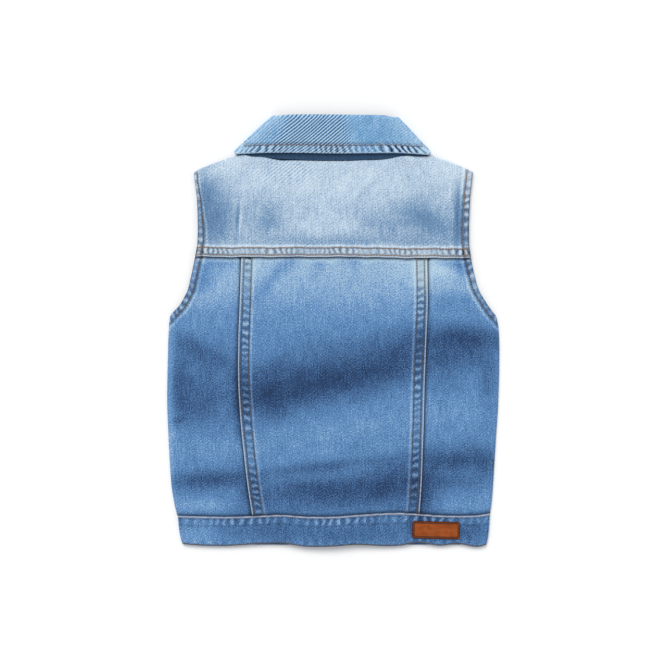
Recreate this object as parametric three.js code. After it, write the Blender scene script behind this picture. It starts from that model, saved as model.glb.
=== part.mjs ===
// A child's denim vest laid flat, face down and back up, in millimetres.
// +Z is up from the surface, +Y runs from the hem to the collar, and X is
// seen from above, so the wearer's left side is at negative X.
import * as THREE from "three";

// Cloth thicknesses and the clearance left between sewn pieces
const CLOTH = 1.2;
const BAND_CLOTH = 1.6;
const DOUBLE_CLOTH = 2.2;
const SEAM_GAP = 0.3;

// Heights of the layers above the surface
const CENTRE_LIFT = 2.6;
const SIDE_TOP = 4.3;
const SIDE_LOFT = 1.3;
const LAP_LOFT = 3.9;
const NECK_LOFT = 1.8;
const BAND_RISE = 0.9;

// Main places of the cut
const HALF_WIDTH = 166;
const YOKE_SEAM_Y = 74;
const YOKE_TOP_Y = 159;
const NECK_HALF = 97;
const BACK_NECK_Y = 169.5;
const BACK_NECK_RISE = 5;
const FRONT_NECK_CENTRE_Y = 175;
const FRONT_NECK_DEPTH = 63;
const NECK_SLACK = 2.4;
const ARMHOLE_FOOT_Y = 15;

// Centre front: half width of the lapped bands, and how the lap slopes away
const LAP_HALF = 12;
const LIFT_HALF = 20;
const LIFT_SLOPE = 55;
const LAP_SLOPE = 30;

// Lapped seams and turned hems
const SEAM_RIDGE = 0.9;
const SEAM_WIDTH = 9;
const SEAM_FALL = 2;
const HEM_RIDGE = 0.8;
const HEM_WIDTH = 6.5;

// Turned edges at the side folds and shoulders
const CURL_RADIUS = 2.6;
const CURL_STEPS = 3;

// Buttons of the centre front
const BUTTON_RADIUS = 7.5;
const BUTTON_COUNT = 6;
const BUTTON_TOP_Y = 98;
const BUTTON_LOW_Y = -199.5;

// Leather patch on the waistband
const PATCH = { x: 102.5, y: -199.5, length: 48, width: 17.5, corner: 3, thickness: 1.2, tilt: -1.5 };

// Outline of the body, a row for each section from the hem to the shoulder tip
const OUTLINE = [
  { y: -216, left: -149.5, right: 151.5 },
  { y: -209, left: -152.5, right: 154 },
  { y: -199, left: -154.5, right: 155.5 },
  { y: -185, left: -156, right: 156.5 },
  { y: -170, left: -159.5, right: 158.5 },
  { y: -150, left: -162.5, right: 160 },
  { y: -110, left: -165, right: 162.5 },
  { y: -70, left: -166.5, right: 165 },
  { y: -30, left: -166, right: 166 },
  { y: 0, left: -165, right: 165.5 },
  { y: 15, left: -163.5, right: 163 },
  { y: 20.5, left: -159.5, right: 159 },
  { y: 25.5, left: -154.5, right: 155.5 },
  { y: 31, left: -151, right: 152 },
  { y: 41, left: -146, right: 146 },
  { y: 51, left: -143.5, right: 142.5 },
  { y: 74, left: -138.5, right: 137.5 },
  { y: 90, left: -136, right: 135.5 },
  { y: 130, left: -136.5, right: 136.5 },
  { y: 150, left: -139, right: 138.5 },
  { y: 159, left: -139.5, right: 139.5 },
];

// Folded edges of the centre back panel, which laps over the side panels
const PANEL_EDGES = [
  { y: -186, left: -81, right: 86 },
  { y: -150, left: -86.5, right: 88.5 },
  { y: -120, left: -90, right: 89.5 },
  { y: -90, left: -93, right: 90.5 },
  { y: -50, left: -95.5, right: 91.5 },
  { y: -10, left: -95.5, right: 93 },
  { y: 30, left: -94, right: 94.5 },
  { y: 74, left: -92.5, right: 94 },
];

// Upper edge and hem of the waistband, which wave a little
const BAND_EDGES = [
  { x: -157, top: -185, hem: -213 },
  { x: -135, top: -185.5, hem: -215 },
  { x: -107, top: -186, hem: -215.5 },
  { x: -75, top: -185, hem: -213.5 },
  { x: -52, top: -184, hem: -212.8 },
  { x: -28, top: -185.5, hem: -216 },
  { x: 0, top: -185.5, hem: -215.7 },
  { x: 22, top: -184, hem: -214.2 },
  { x: 52, top: -182.2, hem: -215.6 },
  { x: 68, top: -182, hem: -215 },
  { x: 84, top: -183, hem: -212.4 },
  { x: 106, top: -184.5, hem: -215.2 },
  { x: 124, top: -185, hem: -213.4 },
  { x: 143, top: -184.5, hem: -216.4 },
  { x: 157, top: -182.5, hem: -213.4 },
];
const FRONT_HEM_Y = -214.4;

// Shoulder line from the neck to the tip, the same on both sides
const SHOULDER = [
  { x: 97, y: 175 },
  { x: 110.5, y: 170.5 },
  { x: 122, y: 166.3 },
  { x: 133, y: 162 },
  { x: 139.5, y: 158.6 },
];

// Soft folds of the back: place, half length, half width, turn in degrees, height
const FOLDS = [
  { x: 6, y: -50, length: 78, width: 20, turn: 7, height: -1.2 },
  { x: -10, y: -94, length: 120, width: 24, turn: -2, height: 1.2 },
  { x: 2, y: -160, length: 66, width: 13, turn: 1, height: -1.1 },
  { x: -128, y: -175, length: 26, width: 7, turn: 3, height: 0.6 },
  { x: 126, y: -174, length: 24, width: 7, turn: -2, height: 0.6 },
  { x: 128, y: -6, length: 36, width: 13, turn: -8, height: -1.0 },
  { x: -130, y: -40, length: 32, width: 26, turn: 6, height: -0.9 },
  { x: 126, y: -138, length: 34, width: 17, turn: 5, height: -0.9 },
  { x: -126, y: -150, length: 30, width: 10, turn: -4, height: -0.8 },
  { x: -126, y: 40, length: 26, width: 15, turn: 12, height: 0.6 },
  { x: 118, y: 48, length: 30, width: 12, turn: -14, height: 0.5 },
  { x: -97, y: 112, length: 22, width: 5, turn: 88, height: -0.5 },
  { x: 64, y: -68, length: 14, width: 5, turn: 2, height: -0.5 },
];

// Collar, a row for each section from the left front end round the neck to the right
// front end: neck seam, centre of the roll and free edge. In front the neck seam
// follows the front neckline.
const COLLAR_FRONT_LEFT = [
  { foldX: -6, foldY: 122, edgeX: -46, edgeY: 89 },
  { foldX: -34, foldY: 166, edgeX: -79, edgeY: 130 },
  { foldX: -60.6, foldY: 210.8, edgeX: -96.4, edgeY: 173.8 },
];
const COLLAR_BACK = [
  { neckX: -94.6, neckY: 175, foldX: -60.6, foldY: 210.8, edgeX: -96.4, edgeY: 173.8 },
  { neckX: -66, neckY: 172.5, foldX: -46, foldY: 212.8, edgeX: -66, edgeY: 177.3 },
  { neckX: -33, neckY: 170.6, foldX: -22, foldY: 213, edgeX: -33, edgeY: 177.2 },
  { neckX: 0, neckY: 170, foldX: 1, foldY: 212.9, edgeX: 0, edgeY: 176.6 },
  { neckX: 33, neckY: 170.6, foldX: 24, foldY: 212.6, edgeX: 33, edgeY: 176.2 },
  { neckX: 66, neckY: 172.5, foldX: 49, foldY: 211.9, edgeX: 66, edgeY: 175.8 },
  { neckX: 94.6, neckY: 175, foldX: 64, foldY: 208.8, edgeX: 95.2, edgeY: 174.3 },
];
const COLLAR_FRONT_RIGHT = [
  { foldX: 64, foldY: 208.8, edgeX: 95.2, edgeY: 174.3 },
  { foldX: 36, foldY: 166, edgeX: 79, edgeY: 130 },
  { foldX: 6, foldY: 122, edgeX: 46, edgeY: 89 },
];

// Heights of the middle of the collar's cloth: stand and fall, front and back
const COLLAR_LEVEL = {
  frontFall: 1.1,
  frontStand: 3.8,
  backRollLow: 7.6,
  backRollHigh: 12.6,
  overYoke: 3.6,
};
const FALL_ROUND = 0.8;

// Finishes
const DENIM_MID = { color: 0x6a8fb8, roughness: 0.93, metalness: 0 };
const DENIM_LIGHT = { color: 0x9dbbd6, roughness: 0.93, metalness: 0 };
const LEATHER = { color: 0xb5622f, roughness: 0.55, metalness: 0 };
const BRASS = { color: 0x9c7b4a, roughness: 0.35, metalness: 0.9 };

const vest = new THREE.Group();

function mix(from, to, share) {
  return from + (to - from) * share;
}

function smooth(value) {
  const share = Math.min(1, Math.max(0, value));
  return share * share * (3 - 2 * share);
}

// Smooth curve through one column of a table, read by another of its columns
function curve(table, key, column) {
  const keys = table.map((row) => row[key]);
  const values = table.map((row) => row[column]);
  const last = keys.length - 1;
  const slopes = keys.map((unused, i) => {
    const before = Math.max(0, i - 1);
    const after = Math.min(last, i + 1);
    return (values[after] - values[before]) / (keys[after] - keys[before]);
  });
  return (at) => {
    const place = Math.min(keys[last], Math.max(keys[0], at));
    let i = 0;
    while (i < last - 1 && place > keys[i + 1]) {
      i += 1;
    }
    const span = keys[i + 1] - keys[i];
    const t = (place - keys[i]) / span;
    const rise = smooth(t);
    const start = t * (1 - t) * (1 - t) * span * slopes[i];
    const end = t * t * (t - 1) * span * slopes[i + 1];
    return mix(values[i], values[i + 1], rise) + start + end;
  };
}

// Places along a line: stretches that each end at a value and have a number of steps
function spread(start, stretches) {
  const places = [start];
  for (const { to, steps } of stretches) {
    const from = places[places.length - 1];
    for (let i = 1; i <= steps; i += 1) {
      places.push(mix(from, to, i / steps));
    }
  }
  return places;
}

const outlineLeft = curve(OUTLINE, "y", "left");
const outlineRight = curve(OUTLINE, "y", "right");
const panelLeft = curve(PANEL_EDGES, "y", "left");
const panelRight = curve(PANEL_EDGES, "y", "right");
const bandTop = curve(BAND_EDGES, "x", "top");
const bandHem = curve(BAND_EDGES, "x", "hem");
const shoulder = curve(SHOULDER, "x", "y");

function outline(side, y) {
  return side < 0 ? outlineLeft(y) : outlineRight(y);
}

function panelEdge(side, y) {
  return side < 0 ? panelLeft(y) : panelRight(y);
}

// 1 where the collar lies under the cloth, 0 well away from the neck
function neckZone(x, y) {
  const reach = Math.hypot(x / 103, (y - 178) / 102);
  return 1 - smooth((reach - 1) / 0.35);
}

// Underside of the front: flat on the surface, lifted by the buttons and the collar
function frontUnder(x, y) {
  const lap = 1 - smooth((Math.abs(x) - LIFT_HALF) / LIFT_SLOPE);
  return CENTRE_LIFT * (1 - (1 - lap) * (1 - neckZone(x, y)));
}

// Extra height of the wearer's right front, which lies inside the lap
function lapRaise(x, height) {
  return height * (1 - smooth((x - LAP_HALF - 1) / LAP_SLOPE));
}

function foldHeight(x, y) {
  let height = 0;
  for (const fold of FOLDS) {
    const angle = THREE.MathUtils.degToRad(fold.turn);
    const along = (x - fold.x) * Math.cos(angle) + (y - fold.y) * Math.sin(angle);
    const across = (y - fold.y) * Math.cos(angle) - (x - fold.x) * Math.sin(angle);
    height += fold.height * Math.exp(-((along / fold.length) ** 2) - (across / fold.width) ** 2);
  }
  const nearSide = smooth((HALF_WIDTH - Math.abs(x)) / 24);
  return height * nearSide;
}

// Upper face of the back, before seams and hems are raised on it
function backTop(x, y) {
  const lap = Math.exp(-((x / 42) ** 2)) * (1 - smooth((y - 95) / 45));
  const side = 1 - (x / HALF_WIDTH) ** 2;
  return SIDE_TOP + SIDE_LOFT * side + LAP_LOFT * lap + NECK_LOFT * neckZone(x, y) + foldHeight(x, y);
}

// Height of a lapped seam or turned hem at a distance from its edge
function ridge(distance, height, width) {
  return height * (1 - smooth((distance - width) / SEAM_FALL));
}

// A turned edge: how far a point lies back from the edge and below the top,
// for the outer and the inner face, as the angle goes from flat to upright
function curl(angle, radius, drop) {
  const out = Math.sin(angle);
  const down = 1 - Math.cos(angle);
  return {
    outerBack: radius * (1 - out),
    outerDown: drop * down,
    innerBack: radius - (radius - CLOTH) * out,
    innerDown: CLOTH + (drop - CLOTH) * down,
  };
}

function addMesh(name, finish, geometry) {
  const mesh = new THREE.Mesh(geometry, new THREE.MeshStandardMaterial(finish));
  mesh.name = name;
  vest.add(mesh);
}

// A closed wall between an outer and an inner grid of points
function addWall(name, finish, outer, inner) {
  const rows = outer.length;
  const columns = outer[0].length;
  const points = [...outer.flat(), ...inner.flat()];
  const half = rows * columns;
  const faces = [];
  const quad = (a, b, c, d) => faces.push(a, b, c, a, c, d);
  for (let j = 0; j < rows - 1; j += 1) {
    for (let i = 0; i < columns - 1; i += 1) {
      const a = j * columns + i;
      const b = a + 1;
      const c = b + columns;
      const d = a + columns;
      quad(a, b, c, d);
      quad(half + d, half + c, half + b, half + a);
    }
  }
  const rim = [];
  for (let i = 0; i < columns - 1; i += 1) {
    rim.push(i);
  }
  for (let j = 0; j < rows - 1; j += 1) {
    rim.push(j * columns + columns - 1);
  }
  for (let i = columns - 1; i > 0; i -= 1) {
    rim.push((rows - 1) * columns + i);
  }
  for (let j = rows - 1; j > 0; j -= 1) {
    rim.push(j * columns);
  }
  rim.forEach((a, k) => {
    const b = rim[(k + 1) % rim.length];
    quad(b, a, half + a, half + b);
  });
  let volume = 0;
  for (let k = 0; k < faces.length; k += 3) {
    const [p, q, r] = [points[faces[k]], points[faces[k + 1]], points[faces[k + 2]]];
    volume += p.dot(new THREE.Vector3().crossVectors(q, r));
  }
  if (volume < 0) {
    faces.reverse();
  }
  const geometry = new THREE.BufferGeometry().setFromPoints(points);
  geometry.setIndex(faces);
  geometry.computeVertexNormals();
  addMesh(name, finish, geometry);
}

// Offsets a grid of middle points to both sides by half of a thickness
function thicken(middle, thickness) {
  const rows = middle.length;
  const columns = middle[0].length;
  const faces = [[], []];
  for (let j = 0; j < rows; j += 1) {
    faces.forEach((face) => face.push([]));
    for (let i = 0; i < columns; i += 1) {
      const right = middle[j][Math.min(columns - 1, i + 1)];
      const left = middle[j][Math.max(0, i - 1)];
      const up = middle[Math.min(rows - 1, j + 1)][i];
      const down = middle[Math.max(0, j - 1)][i];
      const across = new THREE.Vector3().subVectors(right, left);
      const along = new THREE.Vector3().subVectors(up, down);
      const normal = across.cross(along).normalize();
      faces.forEach((face, k) => {
        const step = normal.clone().multiplyScalar(k === 0 ? thickness / 2 : -thickness / 2);
        face[j].push(middle[j][i].clone().add(step));
      });
    }
  }
  return faces;
}

// Back yoke: from armhole to armhole, turned down over both shoulders
function addYoke() {
  const half = 139.5;
  const columns = spread(-half, [
    { to: -half + HEM_WIDTH, steps: 1 },
    { to: -half + HEM_WIDTH + SEAM_FALL, steps: 1 },
    { to: -NECK_HALF - 2, steps: 3 },
    { to: -NECK_HALF + 1, steps: 1 },
    { to: NECK_HALF - 1, steps: 12 },
    { to: NECK_HALF + 2, steps: 1 },
    { to: half - HEM_WIDTH - SEAM_FALL, steps: 3 },
    { to: half - HEM_WIDTH, steps: 1 },
    { to: half, steps: 1 },
  ]);
  const low = YOKE_SEAM_Y + SEAM_GAP / 2;
  const rows = spread(0, [
    { to: SEAM_WIDTH, steps: 1 },
    { to: SEAM_WIDTH + SEAM_FALL, steps: 1 },
    { to: 100, steps: 5 },
  ]);
  const outer = [];
  const inner = [];
  const place = (column, y) => {
    const share = (column + half) / (2 * half);
    return mix(outlineLeft(y), outlineRight(y), share);
  };
  const edgeOf = (column) => {
    const reach = Math.abs(column);
    const neck = BACK_NECK_Y + BACK_NECK_RISE * (reach / NECK_HALF) ** 2;
    const isNeck = reach < NECK_HALF;
    const y = isNeck ? neck : shoulder(reach);
    const under = frontUnder(column, y) + CLOTH + SEAM_GAP;
    const drop = isNeck ? CLOTH + 0.2 : backTop(column, y) - under;
    const radius = isNeck ? CLOTH + 0.2 : CURL_RADIUS;
    return { y, drop, radius };
  };
  const addRow = (rowOf) => {
    const outerRow = [];
    const innerRow = [];
    for (const column of columns) {
      const edge = edgeOf(column);
      const { yOuter, yInner, down, innerDown } = rowOf(edge);
      const hem = ridge(half - Math.abs(column), HEM_RIDGE, HEM_WIDTH);
      const lap = ridge(yOuter - low, SEAM_RIDGE, SEAM_WIDTH);
      const rise = Math.max(hem, lap) * (1 - down / edge.drop);
      const xOuter = place(column, yOuter);
      const xInner = place(column, yInner);
      const top = backTop(xOuter, Math.min(yOuter, edge.y - edge.radius));
      outerRow.push(new THREE.Vector3(xOuter, yOuter, top + rise - down));
      innerRow.push(new THREE.Vector3(xInner, yInner, top - innerDown));
    }
    outer.push(outerRow);
    inner.push(innerRow);
  };
  for (const row of rows) {
    addRow((edge) => {
      const flat = edge.y - edge.radius;
      const y = row <= SEAM_WIDTH + SEAM_FALL ? low + row : mix(low, flat, row / 100);
      return { yOuter: y, yInner: y, down: 0, innerDown: CLOTH };
    });
  }
  for (let step = 1; step <= CURL_STEPS; step += 1) {
    const angle = (step / CURL_STEPS) * (Math.PI / 2);
    addRow((edge) => {
      const turn = curl(angle, edge.radius, edge.drop);
      return {
        yOuter: edge.y - turn.outerBack,
        yInner: edge.y - turn.innerBack,
        down: turn.outerDown,
        innerDown: turn.innerDown,
      };
    });
  }
  addWall("back_yoke", DENIM_LIGHT, outer, inner);
}

// Centre back panel, whose folded edges lap over the side panels
function addCentrePanel() {
  const high = YOKE_SEAM_Y - SEAM_GAP / 2;
  const rows = spread(0, [{ to: 1, steps: 18 }]);
  const middle = spread(0, [{ to: 1, steps: 8 }]);
  const outer = [];
  const inner = [];
  const inset = SEAM_WIDTH + SEAM_FALL;
  for (const row of rows) {
    const outerRow = [];
    const innerRow = [];
    const left = (y) => panelLeft(y) + SEAM_GAP / 2;
    const right = (y) => panelRight(y) - SEAM_GAP / 2;
    const shares = [
      (y) => left(y),
      (y) => left(y) + SEAM_WIDTH,
      ...middle.map((share) => (y) => mix(left(y) + inset, right(y) - inset, share)),
      (y) => right(y) - SEAM_WIDTH,
      (y) => right(y),
    ];
    for (const xOf of shares) {
      const low = bandTop(xOf(-184)) + SEAM_GAP;
      const y = mix(low, high, row);
      const x = xOf(y);
      const distance = Math.min(x - left(y), right(y) - x);
      const top = backTop(x, y);
      outerRow.push(new THREE.Vector3(x, y, top + ridge(distance, SEAM_RIDGE, SEAM_WIDTH)));
      innerRow.push(new THREE.Vector3(x, y, top - CLOTH));
    }
    outer.push(outerRow);
    inner.push(innerRow);
  }
  addWall("back_centre_panel", DENIM_MID, outer, inner);
}

// Side back panel from its lapped seam to the side fold, where it turns down
function addSidePanel(name, side) {
  const high = YOKE_SEAM_Y - SEAM_GAP / 2;
  const low = -182;
  const rows = spread(low, [
    { to: -20, steps: 9 },
    { to: 10, steps: 2 },
    { to: 50, steps: 7 },
    { to: high, steps: 2 },
  ]);
  const outer = [];
  const inner = [];
  for (const level of rows) {
    const outerRow = [];
    const innerRow = [];
    const open = smooth((level - ARMHOLE_FOOT_Y + 4) / 8);
    const foot = CLOTH + SEAM_GAP;
    const radius = mix(CURL_RADIUS, CLOTH + 0.2, open);
    const push = (xOuter, xInner, down, innerDown, distance) => {
      const flatX = Math.min(Math.abs(xOuter), Math.abs(outline(side, level)) - radius) * side;
      const share = (high - level) / (high - low);
      const yOf = (x) => mix(high, bandTop(x) + SEAM_GAP, share);
      const top = backTop(flatX, level);
      const rise = open * ridge(distance, HEM_RIDGE, HEM_WIDTH) * (down > 0 ? 0.6 : 1);
      outerRow.push(new THREE.Vector3(xOuter, yOf(xOuter), top + rise - down));
      innerRow.push(new THREE.Vector3(xInner, yOf(xOuter), top - innerDown));
    };
    const edge = outline(side, level);
    const seam = panelEdge(side, level) + (side * SEAM_GAP) / 2;
    const flatEdge = edge - side * radius;
    const hemEdge = edge - side * HEM_WIDTH;
    const hemEnd = edge - side * (HEM_WIDTH + SEAM_FALL);
    for (let i = 0; i <= 4; i += 1) {
      const x = mix(seam, hemEnd, i / 4);
      push(x, x, 0, CLOTH, Math.abs(edge - x));
    }
    push(hemEdge, hemEdge, 0, CLOTH, HEM_WIDTH);
    push(flatEdge, flatEdge, 0, CLOTH, radius);
    const drop = mix(backTop(flatEdge, level) - foot, CLOTH + 0.2, open);
    for (let step = 1; step <= CURL_STEPS; step += 1) {
      const turn = curl((step / CURL_STEPS) * (Math.PI / 2), radius, drop);
      const xOuter = edge - side * turn.outerBack;
      const xInner = edge - side * turn.innerBack;
      push(xOuter, xInner, turn.outerDown, turn.innerDown, 0);
    }
    outer.push(outerRow);
    inner.push(innerRow);
  }
  addWall(name, DENIM_MID, outer, inner);
}

// Front panel: flat on the surface, from the side fold to its button band
function addFrontPanel(name, side, raise) {
  const low = -182;
  const tip = YOKE_TOP_Y;
  const rows = spread(low, [
    { to: -20, steps: 3 },
    { to: 10, steps: 1 },
    { to: 50, steps: 6 },
    { to: tip, steps: 5 },
  ]);
  const seam = LAP_HALF + SEAM_GAP;
  const half = 139;
  const shoulderPlaces = spread(half, [{ to: NECK_HALF + 0.5, steps: 2 }]);
  const neckPlaces = spread(Math.PI / 2, [{ to: Math.asin(seam / NECK_HALF), steps: 9 }]);
  const places = [...shoulderPlaces, ...neckPlaces.map((angle) => NECK_HALF * Math.sin(angle))];
  const neckY = (reach) => {
    const share = Math.min(1, reach / NECK_HALF);
    return FRONT_NECK_CENTRE_Y - FRONT_NECK_DEPTH * Math.sqrt(1 - share * share);
  };
  const outer = [];
  const inner = [];
  for (const level of rows) {
    const outerRow = [];
    const innerRow = [];
    for (const reach of places) {
      const share = (half - reach) / (half - seam);
      const edgeY = reach > NECK_HALF ? shoulder(reach) - 0.6 : neckY(reach) - SEAM_GAP;
      const v = (level - low) / (tip - low);
      const sideInset = 0.6 + 2 * smooth((level - ARMHOLE_FOOT_Y + 3) / 16);
      const xAt = (y) => mix(Math.abs(outline(side, y)) - sideInset, seam, share) * side;
      const bottom = bandTop(xAt(low)) + SEAM_GAP;
      const y = mix(bottom, edgeY, v);
      const x = xAt(y);
      const under = frontUnder(x, y) + (raise > 0 ? lapRaise(Math.abs(x), raise) : 0);
      outerRow.push(new THREE.Vector3(x, y, under));
      innerRow.push(new THREE.Vector3(x, y, under + CLOTH));
    }
    outer.push(outerRow);
    inner.push(innerRow);
  }
  addWall(name, DENIM_MID, outer, inner);
}

// Button band: a straight doubled strip at the centre front
function addFrontBand(name, under) {
  const low = Math.max(bandTop(-LAP_HALF), bandTop(LAP_HALF)) + SEAM_GAP;
  const high = FRONT_NECK_CENTRE_Y - FRONT_NECK_DEPTH - SEAM_GAP;
  const rows = spread(low, [{ to: high, steps: 6 }]);
  const columns = spread(-LAP_HALF, [{ to: LAP_HALF, steps: 2 }]);
  const layer = (z) => rows.map((y) => columns.map((x) => new THREE.Vector3(x, y, z)));
  addWall(name, DENIM_MID, layer(under), layer(under + BAND_CLOTH));
}

// Upper face of the waistband on the back
function waistbandTop(x, y) {
  return backTop(x, y) + BAND_RISE;
}

// Waistband: a doubled strip that runs round both side folds and laps in front
function addWaistband() {
  const rows = spread(0, [{ to: 1, steps: 3 }]);
  const rightRaise = DOUBLE_CLOTH + SEAM_GAP;
  const frontMiddle = (x, y) => frontUnder(x, y) + DOUBLE_CLOTH / 2;
  const backMiddle = (x, y) => waistbandTop(x, y) - DOUBLE_CLOTH / 2;
  const outer = [];
  const inner = [];
  for (const row of rows) {
    const path = [];
    const yBack = (x) => mix(bandTop(x), bandHem(x), row);
    const yFront = (x) => mix(bandTop(x), FRONT_HEM_Y, row);
    const foldAt = (side) => {
      const yFold = yBack(side * HALF_WIDTH);
      const reach = Math.abs(outline(side, yFold)) - DOUBLE_CLOTH / 2;
      const x = side * (reach - 1.6);
      const low = frontMiddle(x, yFold);
      const high = backMiddle(x, yFold);
      return { x, low, radius: (high - low) / 2, side };
    };
    const left = foldAt(-1);
    const right = foldAt(1);
    const blend = (x, fold) => smooth((Math.abs(fold.x) - Math.abs(x)) / 14);
    const frontY = (x, fold) => mix(yBack(x), yFront(x), blend(x, fold));
    const frontSteps = 10;
    for (let i = 0; i <= frontSteps; i += 1) {
      const x = mix(LAP_HALF, left.x, i / frontSteps);
      path.push(new THREE.Vector3(x, frontY(x, left), frontMiddle(x, -199)));
    }
    const addFold = (fold, rising) => {
      for (let step = 1; step < 5; step += 1) {
        const angle = (step / 5) * Math.PI;
        const level = rising ? 1 - Math.cos(angle) : 1 + Math.cos(angle);
        const x = fold.x + fold.side * fold.radius * Math.sin(angle);
        path.push(new THREE.Vector3(x, yBack(x), fold.low + fold.radius * level));
      }
    };
    addFold(left, true);
    const backSteps = 26;
    for (let i = 0; i <= backSteps; i += 1) {
      const x = mix(left.x, right.x, i / backSteps);
      const y = yBack(x);
      path.push(new THREE.Vector3(x, y, backMiddle(x, y)));
    }
    addFold(right, false);
    for (let i = 0; i <= frontSteps; i += 1) {
      const x = mix(right.x, -LAP_HALF, i / frontSteps);
      const z = frontMiddle(x, -199) + lapRaise(x, rightRaise);
      path.push(new THREE.Vector3(x, frontY(x, right), z));
    }
    const outerRow = [];
    const innerRow = [];
    path.forEach((point, i) => {
      const before = path[Math.max(0, i - 1)];
      const after = path[Math.min(path.length - 1, i + 1)];
      const run = new THREE.Vector2(after.x - before.x, after.z - before.z).normalize();
      const across = new THREE.Vector3(-run.y, 0, run.x).multiplyScalar(DOUBLE_CLOTH / 2);
      outerRow.push(point.clone().add(across));
      innerRow.push(point.clone().sub(across));
    });
    outer.push(outerRow);
    inner.push(innerRow);
  }
  addWall("waistband", DENIM_MID, outer, inner);
}

// One section of the collar from its neck seam over the roll to its free edge. The
// angle goes from 0 under the vest, round the side of the neck, to half a turn on top.
function collarSection(at, angle) {
  const over = (1 - Math.cos(angle)) / 2;
  const bulge = Math.sin(angle);
  const sign = at.neckX < 0 ? -1 : 1;
  const line = new THREE.Vector2(at.foldX - at.neckX, at.foldY - at.neckY).normalize();
  const outward = new THREE.Vector2(line.y * sign, -line.x * sign);
  const point = (x, y, low, high, flatten) => {
    const push = ((high - low) / 2) * bulge * flatten;
    return new THREE.Vector3(x + outward.x * push, y + outward.y * push, mix(low, high, over));
  };
  const { frontFall, frontStand, backRollLow, backRollHigh, overYoke } = COLLAR_LEVEL;
  const neckHigh = backTop(at.neckX, at.neckY) - CLOTH / 2;
  const edgeHigh = backTop(at.edgeX, at.edgeY) + overYoke;
  const section = [];
  const standSteps = 3;
  for (let i = 0; i <= standSteps; i += 1) {
    const share = i / standSteps;
    const x = mix(at.neckX, at.foldX, share);
    const y = mix(at.neckY, at.foldY, share);
    section.push(point(x, y, frontStand, mix(neckHigh, backRollLow, share), 1));
  }
  const low = point(at.foldX, at.foldY, frontStand, backRollLow, 1);
  const high = point(at.foldX, at.foldY, frontFall, backRollHigh, FALL_ROUND);
  const centre = low.clone().add(high).multiplyScalar(0.5);
  const start = low.clone().sub(centre);
  const radius = start.length();
  const rollSteps = 4;
  for (let i = 1; i < rollSteps; i += 1) {
    const turn = (i / rollSteps) * Math.PI;
    const ahead = radius * Math.sin(turn);
    const offset = start.clone().multiplyScalar(Math.cos(turn));
    section.push(centre.clone().add(offset).add(new THREE.Vector3(line.x * ahead, line.y * ahead, 0)));
  }
  const fallSteps = 3;
  for (let i = 0; i <= fallSteps; i += 1) {
    const share = i / fallSteps;
    const x = mix(at.foldX, at.edgeX, share);
    const y = mix(at.foldY, at.edgeY, share);
    const bow = FALL_ROUND + 0.3 * Math.sin(share * Math.PI);
    section.push(point(x, y, frontFall, mix(backRollHigh, edgeHigh, share), bow));
  }
  return section;
}

// Collar: one doubled piece that rolls outwards, flattened from neck point to neck point
function addCollar() {
  const sections = [];
  const addStretch = (table, steps, angle, seamAt) => {
    const columns = Object.keys(table[0]);
    const rows = table.map((row, index) => ({ ...row, index }));
    const curves = columns.map((column) => curve(rows, "index", column));
    for (let i = 0; i <= steps; i += 1) {
      const share = i / steps;
      const place = share * (table.length - 1);
      const at = Object.fromEntries(columns.map((column, k) => [column, curves[k](place)]));
      sections.push(collarSection({ ...at, ...seamAt(share) }, angle));
    }
  };
  const frontSeam = (side, share) => {
    const angle = mix(0.04, Math.PI / 2, share);
    return {
      neckX: side * (NECK_HALF - NECK_SLACK) * Math.sin(angle),
      neckY: FRONT_NECK_CENTRE_Y - (FRONT_NECK_DEPTH - NECK_SLACK) * Math.cos(angle),
    };
  };
  const addTurn = (at, rising) => {
    const steps = 5;
    for (let i = 1; i < steps; i += 1) {
      const share = rising ? i / steps : 1 - i / steps;
      sections.push(collarSection(at, share * Math.PI));
    }
  };
  addStretch(COLLAR_FRONT_LEFT, 6, 0, (share) => frontSeam(-1, share));
  addTurn(COLLAR_BACK[0], true);
  addStretch(COLLAR_BACK, 14, Math.PI, () => ({}));
  addTurn(COLLAR_BACK[COLLAR_BACK.length - 1], false);
  addStretch(COLLAR_FRONT_RIGHT, 6, 0, (share) => frontSeam(1, 1 - share));
  const [outer, inner] = thicken(sections, DOUBLE_CLOTH);
  addWall("collar", DENIM_LIGHT, outer, inner);
}

// Leather patch, made from the waistband's own face and moved out
function addPatch() {
  const rows = spread(-1, [
    { to: -0.66, steps: 3 },
    { to: 0.66, steps: 1 },
    { to: 1, steps: 3 },
  ]);
  const columns = spread(-1, [{ to: 1, steps: 6 }]);
  const tilt = THREE.MathUtils.degToRad(PATCH.tilt);
  const layer = (height) => rows.map((row) => columns.map((column) => {
    const v = (row * PATCH.width) / 2;
    const near = Math.max(0, PATCH.corner - (PATCH.width / 2 - Math.abs(v)));
    const inset = PATCH.corner - Math.sqrt(PATCH.corner ** 2 - near ** 2);
    const u = column * (PATCH.length / 2 - inset);
    const x = PATCH.x + u * Math.cos(tilt) - v * Math.sin(tilt);
    const y = PATCH.y + u * Math.sin(tilt) + v * Math.cos(tilt);
    return new THREE.Vector3(x, y, waistbandTop(x, y) + height);
  }));
  addWall("waistband_patch", LEATHER, layer(SEAM_GAP + PATCH.thickness), layer(SEAM_GAP));
}

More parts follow.
